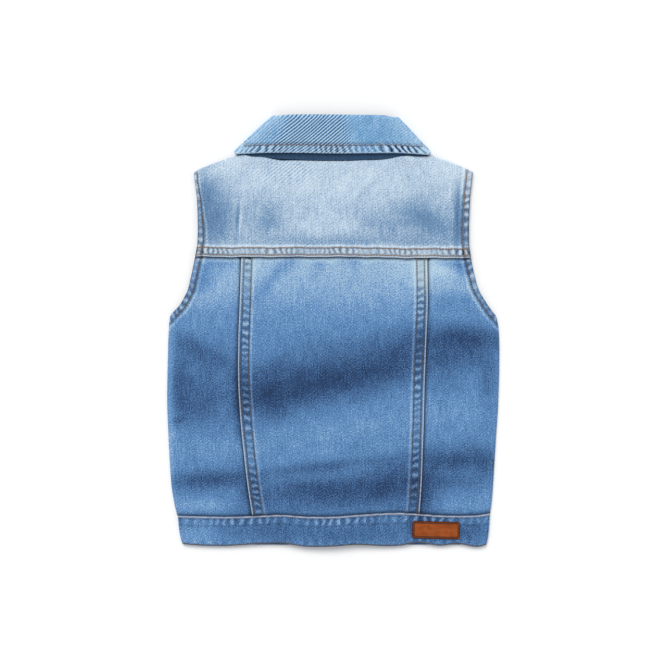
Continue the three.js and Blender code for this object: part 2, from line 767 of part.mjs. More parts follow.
// Metal shank buttons, whose rims rest on the surface
function addButtons() {
  const profile = [
    [0, 0.3],
    [4.4, 0.3],
    [5.2, 0],
    [6.8, 0],
    [BUTTON_RADIUS, 0.7],
    [BUTTON_RADIUS, 1.4],
    [6.6, 2],
    [0, CENTRE_LIFT - SEAM_GAP],
  ].map(([radius, height]) => new THREE.Vector2(radius, height));
  for (let i = 0; i < BUTTON_COUNT; i += 1) {
    const geometry = new THREE.LatheGeometry(profile, 16);
    geometry.rotateX(Math.PI / 2);
    const y = mix(BUTTON_TOP_Y, BUTTON_LOW_Y, i / (BUTTON_COUNT - 1));
    geometry.translate(0, y, 0);
    addMesh(`button_${i + 1}`, BRASS, geometry);
  }
}

addYoke();
addCentrePanel();
addSidePanel("back_side_panel_left", -1);
addSidePanel("back_side_panel_right", 1);
addFrontPanel("front_panel_left", -1, 0);
addFrontPanel("front_panel_right", 1, BAND_CLOTH + SEAM_GAP);
addFrontBand("front_band_left", CENTRE_LIFT);
addFrontBand("front_band_right", CENTRE_LIFT + BAND_CLOTH + SEAM_GAP);
addWaistband();
addCollar();
addPatch();
addButtons();

export default vest;
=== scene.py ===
"""A child's denim vest laid flat, face down: cloth, sewing, patch, buttons and studio."""
import math
from collections import namedtuple

import bpy
import numpy as np
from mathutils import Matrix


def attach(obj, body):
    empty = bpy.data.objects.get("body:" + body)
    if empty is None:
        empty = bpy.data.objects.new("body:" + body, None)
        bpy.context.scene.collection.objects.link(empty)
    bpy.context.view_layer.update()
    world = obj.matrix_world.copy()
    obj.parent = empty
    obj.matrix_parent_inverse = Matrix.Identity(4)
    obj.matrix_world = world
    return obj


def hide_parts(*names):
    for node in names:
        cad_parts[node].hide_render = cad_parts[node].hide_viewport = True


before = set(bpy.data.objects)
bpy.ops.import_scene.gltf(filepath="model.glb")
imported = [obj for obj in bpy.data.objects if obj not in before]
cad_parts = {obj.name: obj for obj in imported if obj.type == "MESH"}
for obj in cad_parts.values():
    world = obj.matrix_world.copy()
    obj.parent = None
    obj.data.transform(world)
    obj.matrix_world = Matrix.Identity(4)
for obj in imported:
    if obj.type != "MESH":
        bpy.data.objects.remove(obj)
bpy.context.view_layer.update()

bl_info = {
    "name": "Denim Vest",
    "version": (1, 0, 0),
    "blender": (4, 5, 0),
    "location": "3D View > Sidebar > Denim Vest",
    "description": "Builds a washed denim vest with its sewing, patch and buttons",
    "category": "Object",
}

MM = 0.001

# Sizes in millimetres from here on; they become metres where a mesh is made

# Cloth and its heights above the surface
CLOTH = 1.2
BAND_CLOTH = 1.6
DOUBLE_CLOTH = 2.2
SEAM_GAP = 0.3
CENTRE_LIFT = 2.6
SIDE_TOP = 4.3
SIDE_LOFT = 1.3
LAP_LOFT = 3.9
NECK_LOFT = 1.8
BAND_RISE = 0.9

# Places of the cut
HALF_WIDTH = 166
YOKE_HALF = 139.5
FRONT_HALF = 139
YOKE_SEAM_Y = 74
YOKE_TOP_Y = 159
NECK_HALF = 97
BACK_NECK_Y = 169.5
BACK_NECK_RISE = 5
FRONT_NECK_CENTRE_Y = 175
FRONT_NECK_DEPTH = 63
NECK_SLACK = 2.4
ARMHOLE_FOOT_Y = 15
PANEL_LOW_Y = -182
PANEL_HIGH_Y = YOKE_SEAM_Y - SEAM_GAP / 2
FRONT_HEM_Y = -214.4
LAP_HALF = 12
LIFT_HALF = 20
LIFT_SLOPE = 55
LAP_SLOPE = 30

# Lapped seams, turned hems and turned edges
SEAM_RIDGE = 0.9
SEAM_FALL = 2
YOKE_ROWS = (2.3, 9.0)
PANEL_ROWS = (3.0, 10.7)
HEM_RIDGE = 0.8
HEM_WIDTH = 6.5
HEM_ROW = 5.8
STITCH_SINK = 0.3
CURL_RADIUS = 2.6
OPEN_RADIUS = CLOTH + 0.2
EDGE_ROUND = 0.8

# Sewing of the waistband, button bands and collar, as distances from their edges
BAND_ROW = 1.6
BAND_ALLOWANCE = 9
BAND_HEM_ROW = 0.8
LAP_ROW = 3
COLLAR_ROW = 8.8

# Puckers that go on across a seam: period and seed
YOKE_PUCKER = (5.7, 0.7)
BAND_PUCKER = (8.6, 3.3)

# Grid steps of the cloth meshes, and the angle from which an edge is sharp
SHARP_ANGLE = math.radians(60)
FINE_STEP = 0.55
CLOTH_STEP = 1.35
HIDDEN_STEP = 3

# Row of the waistband's grid along which its length is measured
LENGTH_ROW = 8

# Numbers of points of the pieces that run round the body and the neck
TURN_STEPS = 16
BAND_FRONT_STEPS = 66
BAND_BACK_STEPS = 270
WING_STEPS = 52
NECK_STEPS = 190
STAND_STEPS = 22
ROLL_STEPS = 13


def table_of(kind, *rows):
    """Short table whose columns have the names of its kind."""
    return tuple(kind(*row) for row in rows)


Section = namedtuple("Section", "y left right")
OUTLINE = table_of(
    Section,
    (-216, -149.5, 151.5), (-209, -152.5, 154), (-199, -154.5, 155.5), (-185, -156, 156.5),
    (-170, -159.5, 158.5), (-150, -162.5, 160), (-110, -165, 162.5), (-70, -166.5, 165),
    (-30, -166, 166), (0, -165, 165.5), (15, -163.5, 163), (20.5, -159.5, 159),
    (25.5, -154.5, 155.5), (31, -151, 152), (41, -146, 146), (51, -143.5, 142.5),
    (74, -138.5, 137.5), (90, -136, 135.5), (130, -136.5, 136.5), (150, -139, 138.5),
    (159, -139.5, 139.5),
)
PANEL_EDGES = table_of(
    Section,
    (-186, -81, 86), (-150, -86.5, 88.5), (-120, -90, 89.5), (-90, -93, 90.5),
    (-50, -95.5, 91.5), (-10, -95.5, 93), (30, -94, 94.5), (74, -92.5, 94),
)

BandEdge = namedtuple("BandEdge", "x top hem")
BAND_EDGES = table_of(
    BandEdge,
    (-157, -185, -213), (-135, -185.5, -215), (-107, -186, -215.5), (-75, -185, -213.5),
    (-52, -184, -212.8), (-28, -185.5, -216), (0, -185.5, -215.7), (22, -184, -214.2),
    (52, -182.2, -215.6), (68, -182, -215), (84, -183, -212.4), (106, -184.5, -215.2),
    (124, -185, -213.4), (143, -184.5, -216.4), (157, -182.5, -213.4),
)

ShoulderPoint = namedtuple("ShoulderPoint", "x y")
SHOULDER = table_of(
    ShoulderPoint,
    (97, 175), (110.5, 170.5), (122, 166.3), (133, 162), (139.5, 158.6),
)

# Soft folds: place, half length, half width, turn in degrees and height
Fold = namedtuple("Fold", "x y length width turn height")
FOLDS = table_of(
    Fold,
    (6, -50, 78, 20, 7, -1.2), (-10, -94, 120, 24, -2, 1.2), (2, -160, 66, 13, 1, -1.1),
    (-128, -175, 26, 7, 3, 0.6), (126, -174, 24, 7, -2, 0.6), (128, -6, 36, 13, -8, -1.0),
    (-130, -40, 32, 26, 6, -0.9), (126, -138, 34, 17, 5, -0.9), (-126, -150, 30, 10, -4, -0.8),
    (-126, 40, 26, 15, 12, 0.6), (118, 48, 30, 12, -14, 0.5), (-97, 112, 22, 5, 88, -0.5),
    (64, -68, 14, 5, 2, -0.5),
)

# Small creases that are too fine for the solids, in the same columns
CREASES = table_of(
    Fold,
    (-96, 108, 17, 1.6, 86, -0.5), (-94.5, 118, 12, 1.8, 84, 0.3),
    (124, 110, 30, 2.2, 92, -0.7), (119, 112, 28, 3.0, 92, 0.35),
    (66, -67.5, 13, 1.7, 3, -0.45), (60, -64.5, 11, 1.9, 2, 0.25), (-155, -85, 9, 1.5, 8, -0.4),
    (-34, -52, 56, 13, 17, -0.5), (52, -24, 40, 11, 22, -0.5), (-20, -78, 60, 8, 16, 0.35),
    (-62, 52, 20, 3.5, 42, -0.35), (-20, 58, 16, 3.0, 70, -0.25), (30, 60, 14, 3.0, 112, -0.22),
    (66, 56, 18, 3.2, 135, -0.3), (-52, -122, 34, 5, 6, 0.25), (-30, -166, 44, 4, 4, -0.35),
    (52, -150, 30, 6, 38, -0.35), (20, -134, 40, 4, 10, -0.2), (-128, -20, 26, 5, -28, -0.35),
    (-110, -58, 26, 8, -20, -0.3), (-118, -112, 26, 6, -8, 0.3), (-122, -156, 26, 4, 10, -0.25),
    (132, -52, 20, 4.5, 12, 0.3), (124, -104, 26, 5, 10, 0.3), (120, -132, 30, 5, 6, -0.35),
    (98, -168, 16, 4, 60, -0.25), (126, 22, 26, 4.5, -24, -0.3), (-122, 20, 20, 4.5, 32, 0.25),
    (60, 118, 34, 6, 76, -0.25), (16, 108, 30, 7, 82, 0.2), (-52, 128, 28, 6, 97, -0.22),
    (40, 142, 44, 4, 38, -0.18), (112, 84, 18, 4, 20, 0.25), (-118, 138, 20, 4.5, 70, -0.25),
)

# Height above which the thread along the back panels kept its colour
FRESH_THREAD_Y = 36.0

# Share by which the dark places of the wash and of the painted shade are deepened, and what the
# wash lacks on the hidden side
WASH_AND_SHADE_DEPTH = 1.22
HIDDEN_FADE = -0.05

# Worn and dark places of the wash, together with painted shade and painted highlights of folds and
# creases, in the same columns, height as a share of the range
WASH_AND_SHADE_PATCHES = table_of(
    Fold,
    (-122, 116, 15, 44, 0, -0.3), (-133, 118, 9, 44, 0, -0.14), (-72, 114, 32, 24, 0, -0.14),
    (0, 148, 90, 20, 0, 0.06), (-6, 116, 34, 30, 0, -0.03), (36, 106, 9, 7, 0, -0.07),
    (-63, 109, 9, 8, 0, -0.07), (97, 102, 7, 6, 0, -0.07), (126, 156, 8, 8, 0, 0.06),
    (84, 114, 28, 26, 10, -0.16), (94, 112, 14, 10, 0, -0.12), (112, 92, 22, 14, 0, -0.12),
    (125.5, 112, 5, 34, 0, -0.4), (134, 104, 6, 40, 0, -0.3), (112, 28, 28, 10, 0, -0.09),
    (10, -14, 76, 11, 6, -0.09), (118, 160, 30, 9, -24, 0.1), (-112, 162, 32, 8, 24, 0.12),
    (-96, 110, 18, 1.6, 86, -0.24), (-93.4, 110, 16, 1.5, 86, 0.14),
    (36, 144, 27, 3, 44, -0.07), (30, 146, 27, 3, 44, 0.05), (0, 89, 92, 7, 0, -0.16),
    (-118, 82, 22, 9, 0, 0.04), (46, 110, 60, 22, 0, -0.08), (48, 106, 15, 10, 0, -0.06),
    (-108, 118, 8, 14, 0, -0.08), (111, 106, 10, 10, 0, -0.08), (-52, 66, 16, 5, 40, -0.1),
    (18, 70, 12, 5, 0, -0.1), (-14, 65, 8, 4, 0, -0.1), (116, 67, 18, 4, 0, -0.16),
    (-54, 47, 14, 12, 0, 0.06), (-13, 95, 14, 5, 0, 0.06), (45, 30, 7, 7, 0, -0.06),
    (-108, 67, 14, 5, 0, -0.15), (-57, 54, 34, 6, 44, -0.16), (-18, 58, 16, 5, 70, -0.08),
    (22, 62, 16, 5, 100, -0.09), (-134, 64, 12, 7, 0, -0.12), (-138, 48, 20, 12, 40, -0.22),
    (-122, 36, 26, 9, 24, 0.1), (-153, 27, 18, 4, 57, -0.28), (154, 27, 18, 4, -57, -0.34),
    (102, 62, 26, 8, -8, 0.12), (134, 62, 14, 9, 0, -0.26), (90, 60, 7, 14, 0, 0.34),
    (0, 106, 34, 9, 0, 0.07), (106, -29, 11, 8, 0, -0.08), (-58, -88, 15, 9, 0, -0.05),
    (-146, -122, 14, 12, 0, -0.04), (-146, -60, 14, 10, 0, 0.05), (-150, -3, 10, 12, 0, 0.04),
    (-103, 107, 10, 18, 0, -0.07), (-126, 142, 12, 16, 0, -0.05), (-91, -62, 9, 44, 0, -0.06),
    (-126, -60, 11, 18, 0, 0.06), (-25, -155, 24, 7, 0, -0.06), (27, -190, 24, 7, 0, -0.05),
    (30, -34, 22, 6, 8, 0.05), (92, 66, 14, 9, 0, 0.05), (-38, 66, 9, 7, 0, -0.05),
    (-5, -153, 46, 6, 0, -0.03), (-70, -50, 12, 9, 0, -0.04), (-62, 116, 12, 12, 0, -0.05),
    (30, 34, 50, 18, 0, 0.05), (92, 52, 24, 12, 0, 0.08), (-60, -38, 24, 10, 8, -0.12),
    (-16, -52, 96, 23, 11, -0.4), (-62, -72, 24, 16, 0, -0.12), (62, -28, 42, 19, 18, -0.17),
    (-110, -66, 12, 18, 0, 0.14), (-96, -64, 4, 52, 0, -0.14), (-164, -70, 5, 120, 0, 0.24),
    (-110, -30, 22, 16, 0, -0.05), (107, -76, 7, 6, 0, -0.1), (-99, -166, 8, 8, 0, 0.1),
    (106, -4, 16, 10, 0, 0.06), (128, -8, 46, 14, -3, -0.34), (132, -30, 34, 12, 0, -0.14),
    (110, -50, 26, 18, 0, -0.08), (154, -56, 9, 30, 0, -0.14), (122, -80, 36, 15, 0, 0.07),
    (-134, -62, 38, 28, 0, -0.24), (-156, -46, 11, 40, 0, -0.14),
    (-136, -20, 30, 12, -24, -0.2), (20, -96, 70, 14, 12, 0.08), (-128, -118, 40, 12, 0, 0.06),
    (-126, -150, 40, 10, 2, -0.3), (-130, -175, 34, 7, 0, 0.17), (-82, -164, 18, 22, 0, -0.16),
    (-10, -136, 74, 6, 6, -0.18), (0, -162, 84, 17, 5, -0.32), (58, -152, 30, 20, 34, -0.18),
    (126, -129, 42, 14, 3, -0.3), (152, -138, 14, 12, 0, -0.12), (90, -168, 17, 30, 0, -0.26),
    (126, -152, 30, 8, 0, -0.14), (116, -175, 26, 7, 0, 0.1), (0, -200, 220, 15, 0, -0.16),
    (-157, -90, 12, 4, 6, -0.12), (-60, -200, 22, 16, 0, -0.07), (-136, -203, 20, 11, 0, 0.2),
    (10, -207, 36, 8, 0, -0.07), (67, -201, 8, 8, 0, 0.1), (112, -200, 50, 15, 0, -0.14),
)

# Waves of the yoke's neck edge: place, half length, half width, turn and height
NECK_WAVES = table_of(
    Fold,
    (70, 0, 13, 9, 0, 2.2), (-72, 0, 11, 9, 0, 1.3), (-52, 0, 10, 9, 0, -0.9),
    (30, 0, 10, 9, 0, 0.3), (-89, 0, 6, 9, 0, 1.8),
)

# Collar sections: neck seam, centre of the roll and free edge
NeckPoint = namedtuple("NeckPoint", "neckX neckY foldX foldY edgeX edgeY")
COLLAR_BACK = table_of(
    NeckPoint,
    (-94.6, 175, -59.4, 211, -97, 175.9), (-66, 172.5, -46, 212.2, -66, 177.2),
    (-33, 170.6, -22, 212.2, -33, 177.2), (0, 170, 1, 212, 0, 176.6),
    (33, 170.6, 24, 211.8, 33, 176.8), (66, 172.5, 49, 211.6, 66, 176.9),
    (94.6, 175, 62.8, 209.6, 95, 175.2),
)
WingPoint = namedtuple("WingPoint", "foldX foldY edgeX edgeY")
COLLAR_FRONT_LEFT = table_of(
    WingPoint,
    (-6, 122, -46, 89), (-34, 166, -79, 130), (-59.4, 211, -97, 175.9),
)
COLLAR_FRONT_RIGHT = table_of(
    WingPoint,
    (62.8, 209.6, 95, 175.2), (36, 166, 79, 130), (6, 122, 46, 89),
)
FRONT_FALL_Z = 1.1
FRONT_STAND_Z = 3.8
BACK_ROLL_LOW_Z = 7.6
BACK_ROLL_HIGH_Z = 12.6
COLLAR_FALL = 39
FALL_OVER_YOKE = 3.6
FALL_ROUND = 0.62
FOLD_ROUND = 0.5

# Slanted ends of the flattened collar: half widths at the roll and at the edge, place, length
CollarEnd = namedtuple("CollarEnd", "roll edge y length")
COLLAR_ENDS = table_of(CollarEnd, (59.4, 97, 211, 35), (62.8, 95, 209.6, 34))

# Slow waves of the collar's fall: place, half length, half width, turn and height
COLLAR_WAVES = table_of(
    Fold,
    (-62, 196, 22, 5, 48, -1), (-30, 200, 26, 6, 40, 0.8), (12, 196, 30, 6, 33, -0.7),
    (48, 200, 22, 6, 28, 0.7), (78, 190, 16, 5, -48, -0.9),
)

# Worn and dark places of the collar's fall, in the same columns
COLLAR_WASH = table_of(
    Fold,
    (0, 204, 80, 9, 0, -0.06), (46, 187, 20, 9, 0, -0.07), (-88, 181, 10, 7, 0, 0.08),
)

# Leather patch and buttons
PATCH_X = 102.5
PATCH_Y = -199.5
PATCH_LENGTH = 48
PATCH_WIDTH = 17.5
PATCH_CORNER = 3
PATCH_THICKNESS = 1.2
PATCH_TILT = -1.5
PATCH_BORDER = 2
BUTTON_COUNT = 6
BUTTON_TOP_Y = 98
BUTTON_LOW_Y = -199.5
BUTTON_SIDES = 48

# Radius and height of a button's rings, from the middle of its face to its back
BUTTON_PROFILE = (
    (0.02, 0.75), (1.2, 0.72), (2.2, 0.45), (3.4, 0.35), (4.2, 0.42), (4.8, 0.2), (5.4, 0.02),
    (6.2, 0.0), (6.9, 0.08), (7.35, 0.45), (7.5, 1.0), (7.4, 1.5), (6.9, 1.95), (5.5, 2.2),
    (0.02, 2.3),
)

# Camera: straight above the middle of the picture, which is one millimetre a pixel
PICTURE_SIDE = 651
PICTURE_CENTRE = (-8, 5)
CAMERA_HEIGHT = 2400
SENSOR = 36

# Floor and light, in metres
FLOOR_REACH = 6.0
FLOOR_LEVEL = -0.0002
FLOOR_CORNERS = ((-1, -1), (1, -1), (1, 1), (-1, 1))
SKY_STRENGTH = 0.62
SUN_STRENGTH = 1.65
SUN_SOFTNESS = math.radians(32)
SUN_PLACE = (-0.35, 1.05, 1.75)

# Colour property of each group of stitches, where it isn't the tan one
THREADS = {
    "band_top": "cream", "panel": "faded", "panel_top": "olive", "collar": "collar",
    "band_hem": "dark", "patch": "patch", "side_armhole": "armhole",
}

# What all the colour properties share
COLOUR = {"size": 3, "min": 0, "max": 1, "subtype": "COLOR"}


class VestProperties(bpy.types.PropertyGroup):
    """Sizes and colours of the vest that a user may change."""

    stitch_length: bpy.props.FloatProperty(
        name="Stitch Length", description="Length of one topstitch with its gap",
        default=0.0029, min=0.0015, max=0.006, unit="LENGTH")
    thread_width: bpy.props.FloatProperty(
        name="Thread Width", description="Width of the topstitching thread",
        default=0.00115, min=0.0003, max=0.002, unit="LENGTH")
    pucker_height: bpy.props.FloatProperty(
        name="Pucker Height", description="Height of the ripples along the seams",
        default=0.00045, min=0, max=0.001, unit="LENGTH")
    dark_denim: bpy.props.FloatVectorProperty(
        name="Dark Denim", description="Indigo where the wash left the most dye",
        default=(0.022, 0.062, 0.165), **COLOUR)
    mid_denim: bpy.props.FloatVectorProperty(
        name="Mid Denim", description="Indigo of the worn cloth",
        default=(0.112, 0.266, 0.525), **COLOUR)
    mid_yoke: bpy.props.FloatVectorProperty(
        name="Mid Yoke", description="Indigo of the yoke, which the bleach turned greyer",
        default=(0.15, 0.28, 0.465), **COLOUR)
    dark_collar: bpy.props.FloatVectorProperty(
        name="Dark Collar", description="Indigo between the collar's twill lines",
        default=(0.038, 0.115, 0.28), **COLOUR)
    mid_collar: bpy.props.FloatVectorProperty(
        name="Mid Collar", description="Indigo of the collar, a little fresher than the panels",
        default=(0.118, 0.3, 0.54), **COLOUR)
    pale_collar: bpy.props.FloatVectorProperty(
        name="Pale Collar", description="Bleached twill lines of the collar",
        default=(0.5, 0.7, 0.88), **COLOUR)
    pale_denim: bpy.props.FloatVectorProperty(
        name="Pale Denim", description="Bleached cloth of the yoke",
        default=(0.645, 0.768, 0.868), **COLOUR)
    pale_panel: bpy.props.FloatVectorProperty(
        name="Pale Panel", description="Bleached cloth of the back panels",
        default=(0.475, 0.645, 0.775), **COLOUR)
    worn_edge: bpy.props.FloatVectorProperty(
        name="Worn Edge", description="Bare cotton along rubbed edges",
        default=(0.6, 0.68, 0.77), **COLOUR)
    tan_thread: bpy.props.FloatVectorProperty(
        name="Tan Thread", description="Colour of the yoke's and the fronts' topstitching",
        default=(0.285, 0.175, 0.11), **COLOUR)
    cream_thread: bpy.props.FloatVectorProperty(
        name="Cream Thread", description="Colour of the waistband's upper stitching",
        default=(0.52, 0.42, 0.39), **COLOUR)
    faded_thread: bpy.props.FloatVectorProperty(
        name="Faded Thread", description="Colour of the stitching along the back panels",
        default=(0.085, 0.085, 0.095), **COLOUR)
    olive_thread: bpy.props.FloatVectorProperty(
        name="Olive Thread", description="Colour of the same stitching just below the yoke",
        default=(0.2, 0.165, 0.125), **COLOUR)
    collar_thread: bpy.props.FloatVectorProperty(
        name="Collar Thread", description="Colour of the stitching along the collar",
        default=(0.17, 0.115, 0.12), **COLOUR)
    armhole_thread: bpy.props.FloatVectorProperty(
        name="Armhole Thread", description="Colour of the duller stitching of the armholes",
        default=(0.13, 0.088, 0.07), **COLOUR)
    dark_thread: bpy.props.FloatVectorProperty(
        name="Dark Thread", description="Colour of the stitching along the hem",
        default=(0.1, 0.075, 0.05), **COLOUR)
    patch_thread: bpy.props.FloatVectorProperty(
        name="Patch Thread", description="Colour of the stitching round the patch",
        default=(0.075, 0.022, 0.008), **COLOUR)
    leather: bpy.props.FloatVectorProperty(
        name="Leather", description="Colour of the patch",
        default=(0.305, 0.066, 0.01), **COLOUR)
    metal: bpy.props.FloatVectorProperty(
        name="Button Metal", description="Aged brass of the buttons",
        default=(0.42, 0.27, 0.12), **COLOUR)


def mix(start, end, share):
    """Value between two others."""
    return start + (end - start) * share


def smooth(value):
    """Soft step from 0 to 1."""
    share = np.clip(value, 0, 1)
    return share * share * (3 - 2 * share)


def points_at(x, y, z):
    """Array of points from coordinates, any of which may be shared by several points."""
    return np.stack(np.broadcast_arrays(x, y, z), -1)


def unit(vectors):
    """Vectors of length one."""
    return vectors / np.linalg.norm(vectors, axis=-1, keepdims=True)


def run_lengths(path):
    """Distance of each point from a path's start, along the path."""
    steps = np.linalg.norm(np.diff(path, axis=0), axis=1)
    return np.concatenate([[0], np.cumsum(steps)])


def nearest(values, wanted):
    """Index of the value that comes nearest to the wanted one."""
    return int(np.argmin(np.abs(values - wanted)))


def curve(table, key, column):
    """Smooth curve through one column of a table, read by another column or by the row."""
    keys = np.arange(len(table)) * 1.0
    if key:
        keys = np.array([getattr(row, key) for row in table], float)
    values = np.array([getattr(row, column) for row in table], float)
    last = len(keys) - 1
    before = np.maximum(np.arange(last + 1) - 1, 0)
    after = np.minimum(np.arange(last + 1) + 1, last)
    slopes = (values[after] - values[before]) / (keys[after] - keys[before])

    def at(place):
        place = np.clip(place, keys[0], keys[-1])
        i = np.clip(np.searchsorted(keys, place, side="right") - 1, 0, last - 1)
        span = keys[i + 1] - keys[i]
        t = (place - keys[i]) / span
        start = t * (1 - t) * (1 - t) * span * slopes[i]
        end = t * t * (t - 1) * span * slopes[i + 1]
        return mix(values[i], values[i + 1], smooth(t)) + start + end

    return at


outline_left = curve(OUTLINE, "y", "left")
outline_right = curve(OUTLINE, "y", "right")
panel_left = curve(PANEL_EDGES, "y", "left")
panel_right = curve(PANEL_EDGES, "y", "right")
band_top = curve(BAND_EDGES, "x", "top")
band_hem = curve(BAND_EDGES, "x", "hem")
shoulder = curve(SHOULDER, "x", "y")


def outline(side, y):
    return outline_left(y) if side < 0 else outline_right(y)


def panel_edge(side, y):
    return panel_left(y) if side < 0 else panel_right(y)


def spots(table, x, y):
    """Sum of a table's soft folds or patches at each point."""
    total = np.zeros(np.broadcast(x, y).shape)
    for spot in table:
        angle = math.radians(spot.turn)
        along = (x - spot.x) * math.cos(angle) + (y - spot.y) * math.sin(angle)
        across = (y - spot.y) * math.cos(angle) - (x - spot.x) * math.sin(angle)
        spread = np.exp(-((along / spot.length) ** 2) - (across / spot.width) ** 2)
        total = total + spot.height * spread
    return total


def yoke_seam(x):
    """Seam line below the yoke, which waves a little and dips on the wearer's right."""
    dip = 0.7 + 1.0 * smooth((x - 20) / 55) - 0.4 * (1 - smooth((x + 140) / 40))
    return YOKE_SEAM_Y - dip + 0.22 * np.sin(x / 7.3 + 0.6) + 0.15 * np.sin(x / 3.1)


def neck_zone(x, y):
    """1 where the collar lies under the cloth, 0 well away from the neck."""
    reach = np.hypot(x / 103, (y - 178) / 102)
    return 1 - smooth((reach - 1) / 0.35)


def front_under(x, y):
    """Underside of the front: flat on the surface, lifted by buttons and collar."""
    lap = 1 - smooth((np.abs(x) - LIFT_HALF) / LIFT_SLOPE)
    return CENTRE_LIFT * (1 - (1 - lap) * (1 - neck_zone(x, y)))


def lap_raise(x, height):
    """Extra height of the wearer's right front, which lies inside the lap."""
    return height * (1 - smooth((x - LAP_HALF - 1) / LAP_SLOPE))


def back_top(x, y):
    """Upper face of the back, before seams and hems are raised on it."""
    lap = np.exp(-((x / 42) ** 2)) * (1 - smooth((y - 95) / 45))
    side = 1 - (x / HALF_WIDTH) ** 2
    folds = (spots(FOLDS, x, y) + spots(CREASES, x, y)) * smooth((HALF_WIDTH - np.abs(x)) / 24)
    return SIDE_TOP + SIDE_LOFT * side + LAP_LOFT * lap + NECK_LOFT * neck_zone(x, y) + folds


def wash(x, y):
    """How pale the wash left the cloth, with painted shade and painted highlights of folds and
    creases, from 0 for dark indigo to 1 for bleached.
    """
    base = 0.42 + 0.38 * smooth((y + 4) / 84)
    patches = spots(WASH_AND_SHADE_PATCHES, x, y)
    return base + np.where(patches < 0, WASH_AND_SHADE_DEPTH, 1) * patches


def ripple(along, period, seed):
    """Uneven ripples of about one period along a seam, from -1 to 1."""
    drift = 0.32 * np.sin(along / (2.6 * period) + seed)
    phase = along / period + drift + 0.2 * np.sin(along / period + 2.3 * seed)
    swell = 0.72 + 0.28 * np.sin(along / (1.7 * period) + 1.3 * seed)
    return np.sin(2 * np.pi * phase) * swell


def ridge(distance, height, width):
    """Height of a lapped seam or turned hem at a distance from its edge."""
    return height * (1 - smooth((distance - width) / SEAM_FALL))


def edge_drop(distance, radius=EDGE_ROUND):
    """How far a rounded edge falls below its face."""
    back = np.clip(radius - distance, 0, radius)
    return radius - np.sqrt(radius * radius - back * back)


class Marks:
    """Relief and rubbed places that sewing leaves along a piece's edges, with painted shade in its
    grooves, its hollows and under its edges.
    """

    def __init__(self, x, y):
        self.x, self.y = x, y
        self.raised, self.relief, self.wear, self.bleach, self.shade = np.zeros((5, *np.shape(x)))

    def line(self, distance, place, width, relief=0, wear=0, bleach=0, shade=0):
        """A soft line that runs along an edge at one distance from it."""
        spread = np.exp(-(((distance - place) / width) ** 2))
        self.relief = self.relief + relief * spread
        self.wear = self.wear + wear * spread
        self.bleach = self.bleach + bleach * spread
        self.shade = self.shade + shade * spread

    def ladder(self, distance, along, start, stop, period, seed, contrast=1, share=1):
        """Puckers between an edge and its stitches, like the rungs of a ladder, with faded crests
        and painted shade in the hollows.
        """
        height = properties().pucker_height / MM
        inside = smooth((distance - start) / 1.2) * (1 - smooth((distance - stop) / 1.4)) * share
        outside = smooth((distance - stop) / 2) * np.exp(-(((distance - stop) / 5) ** 2)) * share
        slant = 0.2 * distance + 0.6 * np.sin(0.9 * distance + 0.23 * along + seed)
        beat = ripple(along + slant, period, seed)
        self.relief = self.relief + height * beat * (inside + 0.4 * outside)
        self.wear = self.wear + contrast * 0.1 * inside * smooth(beat)
        room = np.clip(1.1 - wash(self.x, self.y), 0.1, 0.6) / 0.6
        pale = (0.34 * inside + 0.14 * outside) * smooth(beat)
        self.bleach = self.bleach + contrast * room * pale
        self.shade = self.shade + contrast * 0.42 * inside * smooth(-beat - 0.1)

    def rounded(self, distance, radius=EDGE_ROUND):
        """Face that falls away at a rounded edge."""
        self.relief = self.relief - edge_drop(distance, radius)

    def kept_raised(self, share):
        """Raised places kept by a share, so that the hidden side stays flat."""
        self.relief = mix(np.minimum(self.relief, 0), self.relief, share)

    def lapped(self, distance, along, rows, period, seed, contrast=1):
        """Raised, double-stitched edge of a piece that laps over its neighbour."""
        self.raised = np.maximum(self.raised, ridge(distance, SEAM_RIDGE, rows[1] + 0.4))
        self.rounded(distance)
        self.ladder(distance, along, rows[0] + 0.4, rows[1] - 1.3, period, seed, contrast)
        for row in rows:
            self.line(distance, row, 1.0, relief=-STITCH_SINK, shade=0.4)
        self.line(distance, 0.6, 0.56, wear=0.76 + 0.2 * ripple(along, 4.2, seed))
        self.line(distance, rows[1] + 2.2, 1.1, relief=0.12, wear=0.09, bleach=0.2)

    def hemmed(self, distance, along, seed, share=1):
        """Raised, single-stitched hem at an open edge."""
        self.raised = np.maximum(self.raised, share * ridge(distance, HEM_RIDGE, HEM_WIDTH))
        self.ladder(distance, along, 0, HEM_ROW - 1, 7.6, seed, 1.1, share)
        self.line(distance, HEM_ROW, 0.9, relief=-STITCH_SINK * share, shade=0.34 * share)
        self.shade = self.shade + 0.1 * share * (1 - smooth((distance - HEM_ROW) / 1.5))
        self.line(distance, HEM_ROW / 2, 1.5, wear=0.12 * share, bleach=0.06 * share)
        self.line(distance, HEM_ROW + 1.3, 0.8, shade=0.34 * share)
        self.line(distance, HEM_ROW + 3.4, 1.5, bleach=0.22 * share)
        self.line(distance, 0, 1.0, shade=0.6 * share)

    def height(self):
        return self.raised + self.relief

    def fields(self, fade=0.0, twill=0.35, cloth=None):
        """Values that the denim reads at each point."""
        shape = np.shape(self.relief)
        flat = points_at(self.x, self.y, 0 * self.relief)
        return {
            "wash": np.broadcast_to(wash(self.x, self.y) + self.bleach + fade, shape),
            "wear": self.wear,
            "shade": self.shade,
            "twill": np.broadcast_to(twill, shape),
            "cloth": flat if cloth is None else cloth,
        }


def armhole_line(side):
    """Edge of an armhole from its foot to the shoulder, carried on past the foot."""
    y = np.linspace(ARMHOLE_FOOT_Y + 2.5, YOKE_TOP_Y, 160)
    line = np.stack([outline(side, y), y], -1)
    beyond = line[0] + np.array([[side * 14, -14.5], [side * 7, -7.3]])
    return np.concatenate([beyond, line])


